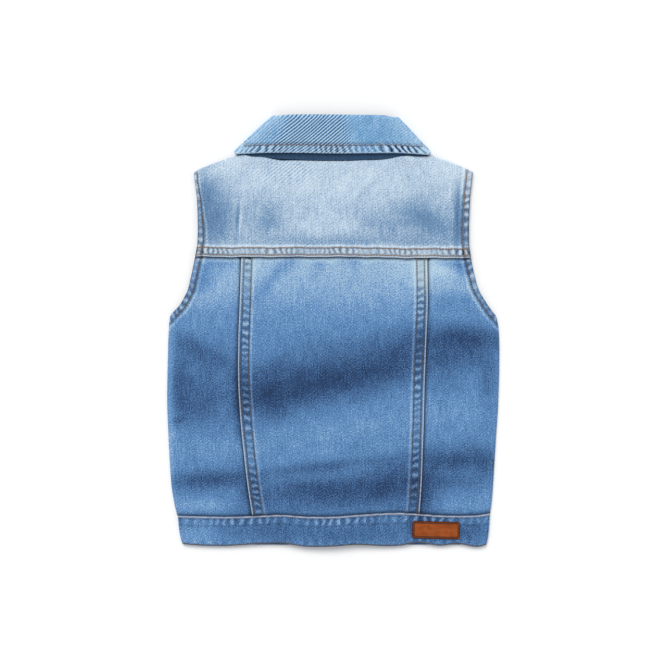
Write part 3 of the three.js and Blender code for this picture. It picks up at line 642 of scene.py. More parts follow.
def from_armhole(side, x, y):
    """Distance from an armhole's edge and the place along it, for each point."""
    line = armhole_line(side)
    closest = np.full(np.shape(x), np.inf)
    along = np.zeros(np.shape(x))
    for start, end, length in zip(line[:-1], line[1:], run_lengths(line)):
        step = end - start
        span = np.hypot(*step)
        t = np.clip(((x - start[0]) * step[0] + (y - start[1]) * step[1]) / span**2, 0, 1)
        reach = np.hypot(x - start[0] - t * step[0], y - start[1] - t * step[1])
        closer = reach < closest
        closest = np.where(closer, reach, closest)
        along = np.where(closer, length + t * span, along)
    return closest, along


def places(start, *stretches):
    """Values along a line: each stretch ends at a value and has a largest step."""
    values = [np.array([float(start)])]
    for end, step in stretches:
        begin = values[-1][-1]
        count = max(1, math.ceil(abs(end - begin) / step - 1e-6))
        values.append(begin + (end - begin) * np.arange(1, count + 1) / count)
    return np.concatenate(values)


def even_shares(length):
    """Shares from 0 to 1 for points along a stretch of cloth about this long."""
    return places(0, (1, CLOTH_STEP / length))


def half_turn():
    """Angles of the points that lie between both ends of a half turn."""
    return np.linspace(0, math.pi, TURN_STEPS)[1:-1]


def properties():
    return bpy.context.scene.denim_vest


def finish_piece(piece, material, nodes):
    """Give a piece its finish, its body and the solids that it stands for."""
    piece.data.materials.append(material)
    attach(piece, "root")
    if nodes:
        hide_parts(*nodes)


def make_mesh(name, points, faces, fields=None):
    """Mesh of points in millimetres and faces of four corners, pressed flat where it lies."""
    points = np.column_stack([points[:, :2], np.maximum(points[:, 2], 0)])
    mesh = bpy.data.meshes.new(name)
    mesh.vertices.add(len(points))
    mesh.vertices.foreach_set("co", (points * MM).astype(np.float32).ravel())
    mesh.loops.add(faces.size)
    mesh.loops.foreach_set("vertex_index", faces.astype(np.int32).ravel())
    mesh.polygons.add(len(faces))
    mesh.polygons.foreach_set("loop_start", np.arange(0, faces.size, 4, dtype=np.int32))
    mesh.polygons.foreach_set("use_smooth", np.ones(len(faces), bool))
    for key, values in (fields or {}).items():
        kind, target = ("FLOAT_VECTOR", "vector") if values.ndim > 1 else ("FLOAT", "value")
        layer = mesh.attributes.new(key, kind, "POINT")
        layer.data.foreach_set(target, values.astype(np.float32).ravel())
    mesh.update(calc_edges=True)
    mesh.set_sharp_from_angle(angle=SHARP_ANGLE)
    piece = bpy.data.objects.new(name, mesh)
    bpy.context.scene.collection.objects.link(piece)
    return piece


def make_wall(name, outer, inner, fields):
    """Closed cloth wall between an outer and an inner grid of points."""
    rows, columns = outer.shape[:2]
    index = np.arange(rows * columns).reshape(rows, columns)
    quads = np.stack([index[:-1, :-1], index[:-1, 1:], index[1:, 1:], index[1:, :-1]], -1)
    quads = quads.reshape(-1, 4)
    half = rows * columns
    rim = np.concatenate([index[0, :-1], index[:-1, -1], index[-1, :0:-1], index[:0:-1, 0]])
    ahead = np.roll(rim, -1)
    sides = np.stack([ahead, rim, rim + half, ahead + half], -1)
    faces = np.concatenate([quads, quads[:, ::-1] + half, sides])
    points = np.concatenate([outer.reshape(-1, 3), inner.reshape(-1, 3)])
    a, b, c, d = (points[faces[:, k]] for k in range(4))
    if np.sum(a * np.cross(b, c)) + np.sum(a * np.cross(c, d)) < 0:
        faces = faces[:, ::-1]
    both = {
        key: np.concatenate([values.reshape(half, *values.shape[2:])] * 2)
        for key, values in fields.items()
    }
    return make_mesh(name, points, faces, both)


def grid_normals(grid):
    """Unit normals of a grid of points."""
    along = np.gradient(grid, axis=0)
    across = np.gradient(grid, axis=1)
    normals = np.cross(across, along)
    length = np.linalg.norm(normals, axis=-1, keepdims=True)
    return normals / np.maximum(length, 1e-9)


def stitch_points(path, normals, pitch, width, fill):
    """Points and faces of a row of stitches, each of which fills a share of its pitch."""
    lengths = run_lengths(path)
    count = max(1, int(lengths[-1] // pitch))
    pitch = lengths[-1] / count
    rings, sides = 6, 8
    share = np.linspace(0, 1, rings)
    starts = (np.arange(count) + (1 - fill) / 2)[:, None] * pitch
    at = starts + share[None, :] * pitch * fill
    centre = np.stack([np.interp(at, lengths, path[:, k]) for k in range(3)], -1)
    up = unit(np.stack([np.interp(at, lengths, normals[:, k]) for k in range(3)], -1))
    across = np.cross(unit(np.gradient(centre, axis=1)), up)
    swell = np.sqrt(np.clip(1 - (2 * share - 1) ** 2, 0.3, 1))
    lift = 0.3 * width * np.sin(np.pi * share)
    angle = np.arange(sides) * 2 * np.pi / sides
    radius = width / 2 * swell
    points = (
        (centre + up * lift[None, :, None])[:, :, None, :]
        + across[:, :, None, :] * (radius[None, :, None] * np.cos(angle))[..., None]
        + up[:, :, None, :] * (0.75 * radius[None, :, None] * np.sin(angle))[..., None]
    )
    index = np.arange(rings * sides).reshape(rings, sides)
    turn = np.roll(index, -1, axis=1)
    tube = np.stack([index[:-1], turn[:-1], turn[1:], index[1:]], -1).reshape(-1, 4)
    first, last = index[0], index[-1]
    caps = [first[[3, 2, 1, 0]], first[[7, 4, 3, 0]], first[[7, 6, 5, 4]]]
    caps += [last[[0, 1, 2, 3]], last[[0, 3, 4, 7]], last[[4, 5, 6, 7]]]
    one = np.concatenate([tube, np.array(caps)])
    faces = (one[None] + (np.arange(count) * rings * sides)[:, None, None]).reshape(-1, 4)
    return points.reshape(-1, 3), faces


def sew(name, rows, material, fill, width):
    """One joined mesh of all the stitches of several rows."""
    pitch = properties().stitch_length / MM
    points, faces, offset = [], [], 0
    for path, normals in rows:
        row_points, row_faces = stitch_points(path, normals, pitch, width, fill)
        points.append(row_points)
        faces.append(row_faces + offset)
        offset += len(row_points)
    piece = make_mesh(name, np.concatenate(points), np.concatenate(faces))
    finish_piece(piece, material, ())


# Rows of stitches that the cloth pieces leave for the sewing operator
SEWING = {}


def keep_row(group, path, normals):
    SEWING.setdefault(group, []).append((path, normals))


def link(tree, source, target):
    tree.links.new(source, target)


def add_node(tree, kind, **values):
    node = tree.nodes.new(kind)
    for key, value in values.items():
        setattr(node, key, value)
    return node


def math_node(tree, operation, first, second=None, clamp=False):
    """Math node whose inputs are sockets or numbers."""
    node = add_node(tree, "ShaderNodeMath", operation=operation, use_clamp=clamp)
    for socket, value in zip(node.inputs, (first, second)):
        if value is None:
            continue
        if isinstance(value, (int, float)):
            socket.default_value = value
        else:
            link(tree, value, socket)
    return node.outputs[0]


def add_scaled(tree, base, value, factor, clamp=False):
    """Sum of a socket or number and a scaled socket."""
    scaled = math_node(tree, "MULTIPLY", value, factor)
    return math_node(tree, "ADD", base, scaled, clamp)


def noise_node(tree, vector, scale, detail=2.0, stretch=(1, 1, 1)):
    """Noise over stretched coordinates."""
    mapping = add_node(tree, "ShaderNodeMapping")
    mapping.inputs["Scale"].default_value = stretch
    link(tree, vector, mapping.inputs["Vector"])
    node = add_node(tree, "ShaderNodeTexNoise")
    node.inputs["Scale"].default_value = scale
    node.inputs["Detail"].default_value = detail
    link(tree, mapping.outputs[0], node.inputs["Vector"])
    return node.outputs["Fac"]


def colour_mix(tree, share, first, second):
    """Mix of two colours, which are sockets or constants."""
    node = add_node(tree, "ShaderNodeMix", data_type="RGBA")
    for place, value in ((0, share), (6, first), (7, second)):
        socket = node.inputs[place]
        if isinstance(value, bpy.types.NodeSocket):
            link(tree, value, socket)
        else:
            socket.default_value = value
    return node.outputs[2]


def tone(colour, factor=1.0, lift=0.0):
    """Opaque colour whose channels are scaled and lifted."""
    return (*[min(1.0, channel * factor + lift) for channel in colour], 1)


def new_group(name, inputs, outputs):
    """Empty shader node group with named sockets."""
    group = bpy.data.node_groups.new(name, "ShaderNodeTree")
    for label, kind, value in inputs:
        socket = group.interface.new_socket(label, in_out="INPUT", socket_type=kind)
        if value is not None:
            socket.default_value = value
    for label, kind in outputs:
        group.interface.new_socket(label, in_out="OUTPUT", socket_type=kind)
    enter = group.nodes.new("NodeGroupInput")
    leave = group.nodes.new("NodeGroupOutput")
    return group, enter, leave


def twill_group():
    """Diagonal twill with warp streaks and grain, over cloth coordinates in millimetres."""
    found = bpy.data.node_groups.get("Twill Weave")
    if found:
        return found
    group, enter, leave = new_group(
        "Twill Weave",
        [
            ("Cloth", "NodeSocketVector", None),
            ("Period", "NodeSocketFloat", 2.2),
            ("Slope", "NodeSocketFloat", 0.66),
        ],
        [("Twill", "NodeSocketFloat"), ("Grain", "NodeSocketFloat"), ("Streak", "NodeSocketFloat")],
    )
    split = add_node(group, "ShaderNodeSeparateXYZ")
    link(group, enter.outputs["Cloth"], split.inputs[0])
    waver = noise_node(group, enter.outputs["Cloth"], 0.02, 1.0)
    angle = enter.outputs["Slope"]
    rise = math_node(group, "MULTIPLY", split.outputs["Y"], math_node(group, "COSINE", angle))
    run = math_node(group, "MULTIPLY", split.outputs["X"], math_node(group, "SINE", angle))
    across = math_node(group, "SUBTRACT", rise, run)
    across = add_scaled(group, across, waver, 7.0)
    phase = math_node(group, "DIVIDE", across, enter.outputs["Period"])
    wave = math_node(group, "SINE", math_node(group, "MULTIPLY", phase, 2 * math.pi))
    climb = math_node(group, "MULTIPLY", split.outputs["Y"], math_node(group, "SINE", angle))
    reach = math_node(group, "MULTIPLY", split.outputs["X"], math_node(group, "COSINE", angle))
    dashes = add_scaled(group, math_node(group, "ADD", climb, reach), across, 0.45)
    dashes = math_node(group, "SINE", math_node(group, "MULTIPLY", dashes, 2.0))
    broken = noise_node(group, enter.outputs["Cloth"], 0.5, 1.0)
    patchy = add_scaled(group, 0.35, add_scaled(group, broken, dashes, 0.22), 1.3)
    link(group, math_node(group, "MULTIPLY", wave, patchy), leave.inputs["Twill"])
    grain = noise_node(group, enter.outputs["Cloth"], 0.8, 2.0, (1.15, 0.9, 1.0))
    link(group, grain, leave.inputs["Grain"])
    streak = noise_node(group, enter.outputs["Cloth"], 0.5, 2.0, (1.3, 0.11, 1.0))
    link(group, streak, leave.inputs["Streak"])
    return group


def cloth_coordinates(tree):
    """Coordinates over the cloth in millimetres, from the object's own space."""
    place = add_node(tree, "ShaderNodeTexCoord")
    scale = add_node(tree, "ShaderNodeVectorMath", operation="SCALE")
    scale.inputs["Scale"].default_value = 1 / MM
    link(tree, place.outputs["Object"], scale.inputs[0])
    return scale.outputs[0]


def new_material(name):
    material = bpy.data.materials.new(name)
    material.use_nodes = True
    tree = material.node_tree
    tree.nodes.clear()
    output = add_node(tree, "ShaderNodeOutputMaterial")
    shader = add_node(tree, "ShaderNodeBsdfPrincipled")
    link(tree, shader.outputs[0], output.inputs["Surface"])
    return material, tree, shader


def add_bump(tree, shader, height, strength, distance):
    bump = add_node(tree, "ShaderNodeBump")
    bump.inputs["Strength"].default_value = strength
    bump.inputs["Distance"].default_value = distance
    link(tree, height, bump.inputs["Height"])
    link(tree, bump.outputs[0], shader.inputs["Normal"])


def denim_material(name, dark, middle, pale, twill=0.1, period=2.4, grain=1.35, streak=0.34):
    """Washed denim: dye depth from the wash and from painted fold shade, pale on rubbed edges, with
    painted shade in creases and along seams.
    """
    colours = properties()
    material, tree, shader = new_material(name)
    cloth = add_node(tree, "ShaderNodeAttribute", attribute_name="cloth").outputs["Vector"]
    weave = add_node(tree, "ShaderNodeGroup")
    weave.node_tree = twill_group()
    weave.inputs["Period"].default_value = period
    link(tree, cloth, weave.inputs["Cloth"])
    fields = {}
    for key in ("wash", "wear", "shade", "twill"):
        fields[key] = add_node(tree, "ShaderNodeAttribute", attribute_name=key).outputs["Fac"]
    blotch = noise_node(tree, cloth, 0.055, 3.0)
    mottle = noise_node(tree, cloth, 0.17, 2.0, (1.3, 0.8, 1.0))
    depth = fields["wash"]
    uneven = {
        weave.outputs["Grain"]: grain, weave.outputs["Streak"]: streak,
        mottle: 0.2, blotch: 0.22,
    }
    for source, amount in uneven.items():
        centred = math_node(tree, "SUBTRACT", source, 0.5)
        depth = add_scaled(tree, depth, centred, amount)
    lines = math_node(tree, "MULTIPLY", weave.outputs["Twill"], twill)
    lines = math_node(tree, "MULTIPLY", lines, fields["twill"])
    depth = math_node(tree, "ADD", depth, lines)
    depth = add_scaled(tree, 0.2, depth, 0.8, clamp=True)
    ramp = add_node(tree, "ShaderNodeValToRGB")
    stops = ramp.color_ramp.elements
    stops[0].position, stops[0].color = 0.0, tone(dark, 0.4)
    stops[1].position, stops[1].color = 1.0, tone(pale)
    stops.new(0.2).color = tone(dark)
    stops.new(0.6).color = tone(middle)
    link(tree, depth, ramp.inputs[0])
    rubbed = math_node(tree, "ADD", weave.outputs["Grain"], 0.35)
    rubbed = math_node(tree, "MULTIPLY", fields["wear"], rubbed, clamp=True)
    colour = colour_mix(tree, rubbed, ramp.outputs[0], tone(colours.worn_edge))
    # Painted shade: the shade field darkens the cloth towards a deep indigo
    colour = colour_mix(tree, fields["shade"], colour, tone(colours.dark_denim, 0.3))
    link(tree, colour, shader.inputs["Base Color"])
    rough = add_scaled(tree, 0.84, weave.outputs["Grain"], 0.14)
    link(tree, rough, shader.inputs["Roughness"])
    shader.inputs["Specular IOR Level"].default_value = 0.25
    shader.inputs["Sheen Weight"].default_value = 0.08
    shader.inputs["Sheen Roughness"].default_value = 0.5
    height = add_scaled(tree, weave.outputs["Grain"], lines, 2.5)
    add_bump(tree, shader, height, 0.6, 0.0005)
    return material


def panel_denim():
    """The finish that all pieces share apart from the yoke and the collar."""
    found = bpy.data.materials.get("Panel Denim")
    colours = properties()
    return found or denim_material(
        "Panel Denim", colours.dark_denim, colours.mid_denim, colours.pale_panel)


def thread_material(name, colour):
    """Spun thread, a little uneven in its dye."""
    material, tree, shader = new_material(name)
    cloth = cloth_coordinates(tree)
    uneven = noise_node(tree, cloth, 0.35, 2.0)
    dyed = colour_mix(tree, uneven, tone(colour, 0.45), tone(colour, 1.6, 0.02))
    link(tree, dyed, shader.inputs["Base Color"])
    shader.inputs["Roughness"].default_value = 0.7
    shader.inputs["Specular IOR Level"].default_value = 0.3
    twist = noise_node(tree, cloth, 3.2, 1.0, (1.0, 1.0, 2.0))
    add_bump(tree, shader, twist, 0.5, 0.0002)
    return material


def leather_material():
    """Waxed leather with pores, darker where it is pressed."""
    colour = properties().leather
    material, tree, shader = new_material("Patch Leather")
    cloth = cloth_coordinates(tree)
    pores = add_node(tree, "ShaderNodeTexVoronoi")
    pores.inputs["Scale"].default_value = 1.4
    link(tree, cloth, pores.inputs["Vector"])
    mottle = noise_node(tree, cloth, 0.22, 3.0)
    pressed = add_node(tree, "ShaderNodeAttribute", attribute_name="shade").outputs["Fac"]
    base = colour_mix(tree, mottle, tone(colour, 0.45), tone(colour, 1.5, 0.01))
    burnt = colour_mix(tree, pressed, base, tone(colour, 0.13))
    link(tree, burnt, shader.inputs["Base Color"])
    rough = add_scaled(tree, 0.5, mottle, 0.25)
    link(tree, rough, shader.inputs["Roughness"])
    shader.inputs["Specular IOR Level"].default_value = 0.1
    add_bump(tree, shader, pores.outputs["Distance"], 0.35, 0.0003)
    return material


def metal_material():
    """Aged brass, unevenly dulled."""
    colour = properties().metal
    material, tree, shader = new_material("Button Brass")
    cloth = cloth_coordinates(tree)
    age = noise_node(tree, cloth, 0.6, 4.0)
    aged = colour_mix(tree, age, tone(colour, 0.35), tone(colour))
    link(tree, aged, shader.inputs["Base Color"])
    shader.inputs["Metallic"].default_value = 1.0
    rough = add_scaled(tree, 0.25, age, 0.35)
    link(tree, rough, shader.inputs["Roughness"])
    add_bump(tree, shader, age, 0.3, 0.0001)
    return material


def curl_steps(radius, drop, count=6):
    """Offsets of a turned edge for both faces, as its angle goes from flat to upright."""
    for step in range(1, count + 1):
        angle = step / count * math.pi / 2
        out, down = math.sin(angle), 1 - math.cos(angle)
        yield (
            radius * (1 - out),
            drop * down,
            radius - (radius - CLOTH) * out,
            CLOTH + (drop - CLOTH) * down,
        )


def yoke_hem(side, y):
    """How much narrower the armhole's hem turns under on the yoke, towards the left shoulder."""
    return 1 + (0.95 * smooth((y - 92) / 62) if side < 0 else 0 * y)


def build_yoke():
    """Back yoke from armhole to armhole, turned down over both shoulders."""
    columns = places(
        -YOKE_HALF, (-YOKE_HALF + 1, 0.25), (-YOKE_HALF + 9, FINE_STEP),
        (-NECK_HALF - 1, CLOTH_STEP), (-NECK_HALF + 1, 0.5),
        (NECK_HALF - 1, CLOTH_STEP), (NECK_HALF + 1, 0.5),
        (YOKE_HALF - 9, CLOTH_STEP), (YOKE_HALF - 1, FINE_STEP), (YOKE_HALF, 0.25))
    reach = np.abs(columns)
    is_neck = reach < NECK_HALF
    neck = BACK_NECK_Y + BACK_NECK_RISE * (reach / NECK_HALF) ** 2 + spots(NECK_WAVES, columns, 0)
    top_y = np.where(is_neck, neck, shoulder(reach))
    under = front_under(columns, top_y) + CLOTH + SEAM_GAP
    drop = np.where(is_neck, OPEN_RADIUS, back_top(columns, top_y) - under)
    radius = np.where(is_neck, OPEN_RADIUS, CURL_RADIUS)
    low = yoke_seam(columns) + SEAM_GAP / 2
    seam = places(0, (1, 0.2), (14, FINE_STEP))
    share = even_shares(80)[1:]
    flat = top_y - radius
    levels = [low + d for d in seam] + [mix(low + seam[-1], flat, s) for s in share]
    rows = [(level, level, 0 * columns, CLOTH + 0 * columns) for level in levels]
    flats = len(rows)
    for back, down, inner_back, inner_down in curl_steps(radius, drop):
        rows.append((top_y - back, top_y - inner_back, down, inner_down))
    y, y_inner, down, inner_down = (np.array([row[k] for row in rows]) for k in range(4))
    across = (columns + YOKE_HALF) / (2 * YOKE_HALF)
    x = mix(outline_left(y), outline_right(y), across)
    x_inner = mix(outline_left(y_inner), outline_right(y_inner), across)
    marks = Marks(x, y)
    marks.lapped(y - low, x, YOKE_ROWS, *YOKE_PUCKER, 1.5)
    marks.line(y - low, 5.6, 3.6, shade=0.12)
    for side in (-1, 1):
        distance, along = from_armhole(side, x, y)
        narrow = yoke_hem(side, y)
        marks.hemmed(distance * narrow, along, 2.1 + side, 1.4 - 0.4 * narrow)
        marks.rounded(distance)
    wave = 0.9 * spots(NECK_WAVES, x, 0) * smooth((y - 162) / 8) * is_neck
    top = back_top(x, np.minimum(y, flat)) + wave
    outer = points_at(x, y, top + marks.height() * (1 - down / drop) - down)
    inner = points_at(x_inner, y_inner, top - inner_down)
    twill = 0.25 + 1.1 * np.exp(-(((x + 42) / 26) ** 2) - ((y - 160) / 12) ** 2)
    piece = make_wall("yoke_cloth", outer, inner, marks.fields(twill=twill))
    colours = properties()
    material = denim_material(
        "Yoke Denim", colours.dark_denim, colours.mid_yoke, colours.pale_denim,
        twill=0.12, period=3.0, grain=1.0)
    finish_piece(piece, material, ["back_yoke"])
    normals = grid_normals(outer)
    for row in YOKE_ROWS:
        at = nearest(seam, row)
        keep_row("yoke", outer[at], normals[at])
    sewn = slice(4, flats)
    for side, group in ((-1, "side_armhole"), (1, "armhole")):
        hem = side * (YOKE_HALF - HEM_ROW * 1.03 / yoke_hem(side, y[sewn, 0]))
        path, up = (
            np.array([
                [np.interp(at, columns, line[:, k]) for k in range(3)]
                for at, line in zip(hem, grid[sewn])
            ])
            for grid in (outer, normals))
        keep_row(group, path, up)


def seam_shadows(marks):
    """Pull and shade of the yoke's seam above a panel and the waistband's below it."""
    below_yoke = yoke_seam(marks.x) - SEAM_GAP / 2 - marks.y
    above_band = marks.y - band_top(marks.x)
    height = properties().pucker_height / MM
    gather = ripple(marks.x, *YOKE_PUCKER) * np.exp(-((below_yoke / 6) ** 2))
    gather = gather + ripple(marks.x, *BAND_PUCKER) * np.exp(-((above_band / 6) ** 2))
    marks.relief = marks.relief + 0.6 * height * gather
    marks.line(below_yoke, 0, 1.8, shade=1.0)
    marks.line(below_yoke, 3, 1.6, bleach=0.12)
    marks.line(above_band, 0, 2.2, shade=0.85)


def build_centre_panel():
    """Centre back panel, whose folded edges lap over the side panels."""
    edge = places(0, (1, 0.2), (14.5, FINE_STEP))
    share = even_shares(155)[1:-1]
    level = even_shares(258)[:, None]
    y = mix(PANEL_LOW_Y, PANEL_HIGH_Y, level)
    left, right = panel_left(y) + SEAM_GAP / 2, panel_right(y) - SEAM_GAP / 2
    between = mix(left + edge[-1], right - edge[-1], share)
    x = np.concatenate([left + edge, between, right - edge[::-1]], 1)
    y = mix(band_top(x) + SEAM_GAP, yoke_seam(x) - SEAM_GAP / 2, level)
    marks = Marks(x, y)
    for distance, period, seed in ((x - left, 7.4, 1.3), (right - x, 7.7, 4.2)):
        marks.lapped(distance, y, PANEL_ROWS, period, seed, 1.1)
        marks.line(distance, sum(PANEL_ROWS) / 2, 2.6, shade=0.15)
    seam_shadows(marks)
    top = back_top(x, y)
    outer = points_at(x, y, top + marks.height())
    inner = points_at(x, y, top - CLOTH)
    piece = make_wall("centre_panel_cloth", outer, inner, marks.fields())
    finish_piece(piece, panel_denim(), ["back_centre_panel"])
    normals = grid_normals(outer)
    last = outer.shape[1] - 1
    for row in PANEL_ROWS:
        at = nearest(edge, row)
        for place in (at, last - at):
            fresh = outer[:, place, 1] > FRESH_THREAD_Y
            keep_row("panel_top", outer[fresh, place], normals[fresh, place])
            keep_row("panel", outer[~fresh, place], normals[~fresh, place])


def build_side_panel(name, node, side):
    """Side back panel from its lapped seam to the side fold, where it turns down."""
    level = places(PANEL_LOW_Y, (8, CLOTH_STEP), (34, 0.7), (PANEL_HIGH_Y, CLOTH_STEP))[:, None]
    from_edge = places(0, (0.6, 0.2), (15, FINE_STEP))[::-1]
    inward = even_shares(56)[:-1]
    share = (PANEL_HIGH_Y - level) / (PANEL_HIGH_Y - PANEL_LOW_Y)
    open_edge = smooth((level - ARMHOLE_FOOT_Y + 4) / 8)
    radius = mix(CURL_RADIUS, OPEN_RADIUS, open_edge)
    edge = outline(side, level)
    seam = panel_edge(side, level) + side * SEAM_GAP / 2
    end = edge - side * (radius + from_edge[0])
    x = np.concatenate([mix(seam, end, inward), edge - side * (radius + from_edge)], 1)
    y = mix(yoke_seam(x) - SEAM_GAP / 2, band_top(x) + SEAM_GAP, share)
    drop = mix(back_top(x[:, -1:], level) - CLOTH - SEAM_GAP, OPEN_RADIUS, open_edge)
    down, inner_down = 0 * x, 0 * x + CLOTH
    x_inner, x_top = x, x
    for back, fall, inner_back, inner_fall in curl_steps(radius, drop):
        x = np.append(x, edge - side * back, 1)
        x_inner = np.append(x_inner, edge - side * inner_back, 1)
        x_top = np.append(x_top, x_top[:, -1:], 1)
        y = np.append(y, y[:, -1:], 1)
        down = np.append(down, fall, 1)
        inner_down = np.append(inner_down, inner_fall, 1)
    marks = Marks(x, y)
    distance, along = from_armhole(side, x, y)
    marks.hemmed(distance, along, 5.2 + side)
    marks.rounded(distance)
    seam_shadows(marks)
    from_seam = np.abs(x - seam)
    marks.line(from_seam, 0, 1.2, shade=0.8)
    marks.line(from_seam, 1.6, 1.6, shade=0.22)
    top = back_top(x_top, level + 0 * x)
    falling = 1 - down / np.maximum(drop, 0.1)
    outer = points_at(x, y, top + marks.height() * falling - down)
    inner = points_at(x_inner, y, top - inner_down)
    piece = make_wall(name, outer, inner, marks.fields())
    finish_piece(piece, panel_denim(), [node])
    line = armhole_line(side)
    line = line[(line[:, 1] < PANEL_HIGH_Y + HEM_ROW) & (line[:, 1] > ARMHOLE_FOOT_Y - 6)]
    run = unit(np.gradient(line, axis=0))
    row = line + HEM_ROW * side * np.stack([-run[:, 1], run[:, 0]], -1)
    x, y = row[:, 0], row[:, 1]
    row = row[(y < yoke_seam(x) - 0.6) & (np.abs(x) < np.abs(outline(side, y)) - 0.5)]
    x, y = row[:, 0], row[:, 1]
    back = np.clip(1 - (np.abs(outline(side, y)) - np.abs(x)) / CURL_RADIUS, 0, 1)
    fall = (back_top(x, y) - CLOTH - SEAM_GAP) * (1 - np.sqrt(1 - back * back))
    path = points_at(x, y, back_top(x, y) + (HEM_RIDGE - STITCH_SINK) * (1 - back) - fall)
    keep_row("side_armhole", path, np.zeros_like(path) + (0, 0, 1))


def build_front_panel(name, node, side, raised):
    """Plain front that lies on the surface, from the side fold to its button band."""
    seam = LAP_HALF + SEAM_GAP
    reach = np.concatenate([
        places(FRONT_HALF, (NECK_HALF + 0.5, HIDDEN_STEP)),
        NECK_HALF * np.sin(places(math.pi / 2, (math.asin(seam / NECK_HALF), 0.045))),
    ])
    share = (FRONT_HALF - reach) / (FRONT_HALF - seam)
    inside = np.minimum(1, reach / NECK_HALF)
    neck_y = FRONT_NECK_CENTRE_Y - FRONT_NECK_DEPTH * np.sqrt(1 - inside * inside) - SEAM_GAP
    edge_y = np.where(reach > NECK_HALF, shoulder(reach) - 0.6, neck_y)
    level = places(PANEL_LOW_Y, (5, HIDDEN_STEP), (45, 1.5), (YOKE_TOP_Y, HIDDEN_STEP))[:, None]
    v = (level - PANEL_LOW_Y) / (YOKE_TOP_Y - PANEL_LOW_Y)
    inset = 0.6 + 2 * smooth((level - ARMHOLE_FOOT_Y + 3) / 16)

    def x_at(y):
        return mix(np.abs(outline(side, y)) - inset, seam, share) * side

    y = mix(band_top(x_at(PANEL_LOW_Y)) + SEAM_GAP, edge_y, v)
    x = x_at(y)
    under = front_under(x, y) + lap_raise(np.abs(x), raised)
    marks = Marks(x, y)
    marks.line(np.abs(x) - seam, 0, 1.5, shade=0.5)
    marks.line(y - band_top(x), 0, 1.5, shade=0.5)
    outer = points_at(x, y, under)
    inner = points_at(x, y, under + CLOTH)
    piece = make_wall(name, outer, inner, marks.fields(HIDDEN_FADE))
    finish_piece(piece, panel_denim(), [node])


def build_front_band(name, node, under, sewn):
    """Doubled button band with a row of stitches near each edge."""
    low = float(max(band_top(-LAP_HALF), band_top(LAP_HALF))) + SEAM_GAP
    high = FRONT_NECK_CENTRE_Y - FRONT_NECK_DEPTH - SEAM_GAP
    x = places(-LAP_HALF, (-LAP_HALF + 1, 0.25), (LAP_HALF - 1, 1), (LAP_HALF, 0.25))
    x, y = np.meshgrid(x, places(low, (high, 1.2)))
    edge = LAP_HALF - np.abs(x)
    marks = Marks(x, y)
    marks.line(edge, 0, 1.0, wear=0.5)
    marks.line(edge, LAP_ROW, 0.8, shade=0.2)
    face = under + edge_drop(edge, 0.5) + 0.2 * np.exp(-(((edge - LAP_ROW) / 0.75) ** 2))
    face = face + 0.12 * (1 + ripple(y, 8.2, 0.4))
    inner = points_at(x, y, under + BAND_CLOTH - edge_drop(edge, 0.4))
    piece = make_wall(name, points_at(x, y, face), inner, marks.fields(HIDDEN_FADE))
    finish_piece(piece, panel_denim(), [node])
    if sewn:
        for place in (LAP_ROW - LAP_HALF, LAP_HALF - LAP_ROW):
            at = nearest(x[0], place)
            path = points_at(x[:, at], y[:, at], face[:, at])
            keep_row("front", path, np.zeros_like(path) - (0, 0, 1))


def band_line(row):
    """Points through the middle of the waistband, all round at one share of its height."""

    def y_back(x):
        return mix(band_top(x), band_hem(x), row)

    def y_front(x, end):
        near = smooth((abs(end) - np.abs(x)) / 14)
        return mix(y_back(x), mix(band_top(x), FRONT_HEM_Y, row), near)

    turn = half_turn()
    ends = []
    for side in (-1, 1):
        y_fold = float(y_back(side * HALF_WIDTH))
        x = side * (abs(float(outline(side, y_fold))) - DOUBLE_CLOTH / 2 - 1.6)
        low = float(front_under(x, y_fold)) + DOUBLE_CLOTH / 2
        radius = (float(back_top(x, y_fold)) + BAND_RISE - DOUBLE_CLOTH / 2 - low) / 2
        angles = turn if side < 0 else turn[::-1]
        arc_x = x + side * radius * np.sin(angles)
        arc_z = low + radius * (1 - np.cos(angles))
        ends.append((x, points_at(arc_x, y_back(arc_x), arc_z)))
    (left, left_arc), (right, right_arc) = ends
    x_left = np.linspace(LAP_HALF, left, BAND_FRONT_STEPS)
    x_back = np.linspace(left, right, BAND_BACK_STEPS)
    x_right = np.linspace(right, -LAP_HALF, BAND_FRONT_STEPS)
    z_left = front_under(x_left, PATCH_Y) + DOUBLE_CLOTH / 2
    z_back = back_top(x_back, y_back(x_back)) + BAND_RISE - DOUBLE_CLOTH / 2
    lap = lap_raise(x_right, DOUBLE_CLOTH + SEAM_GAP)
    z_right = front_under(x_right, PATCH_Y) + lap + DOUBLE_CLOTH / 2
    return np.concatenate([
        points_at(x_left, y_front(x_left, left), z_left),
        left_arc,
        points_at(x_back, y_back(x_back), z_back),
        right_arc,
        points_at(x_right, y_front(x_right, right), z_right),
    ])


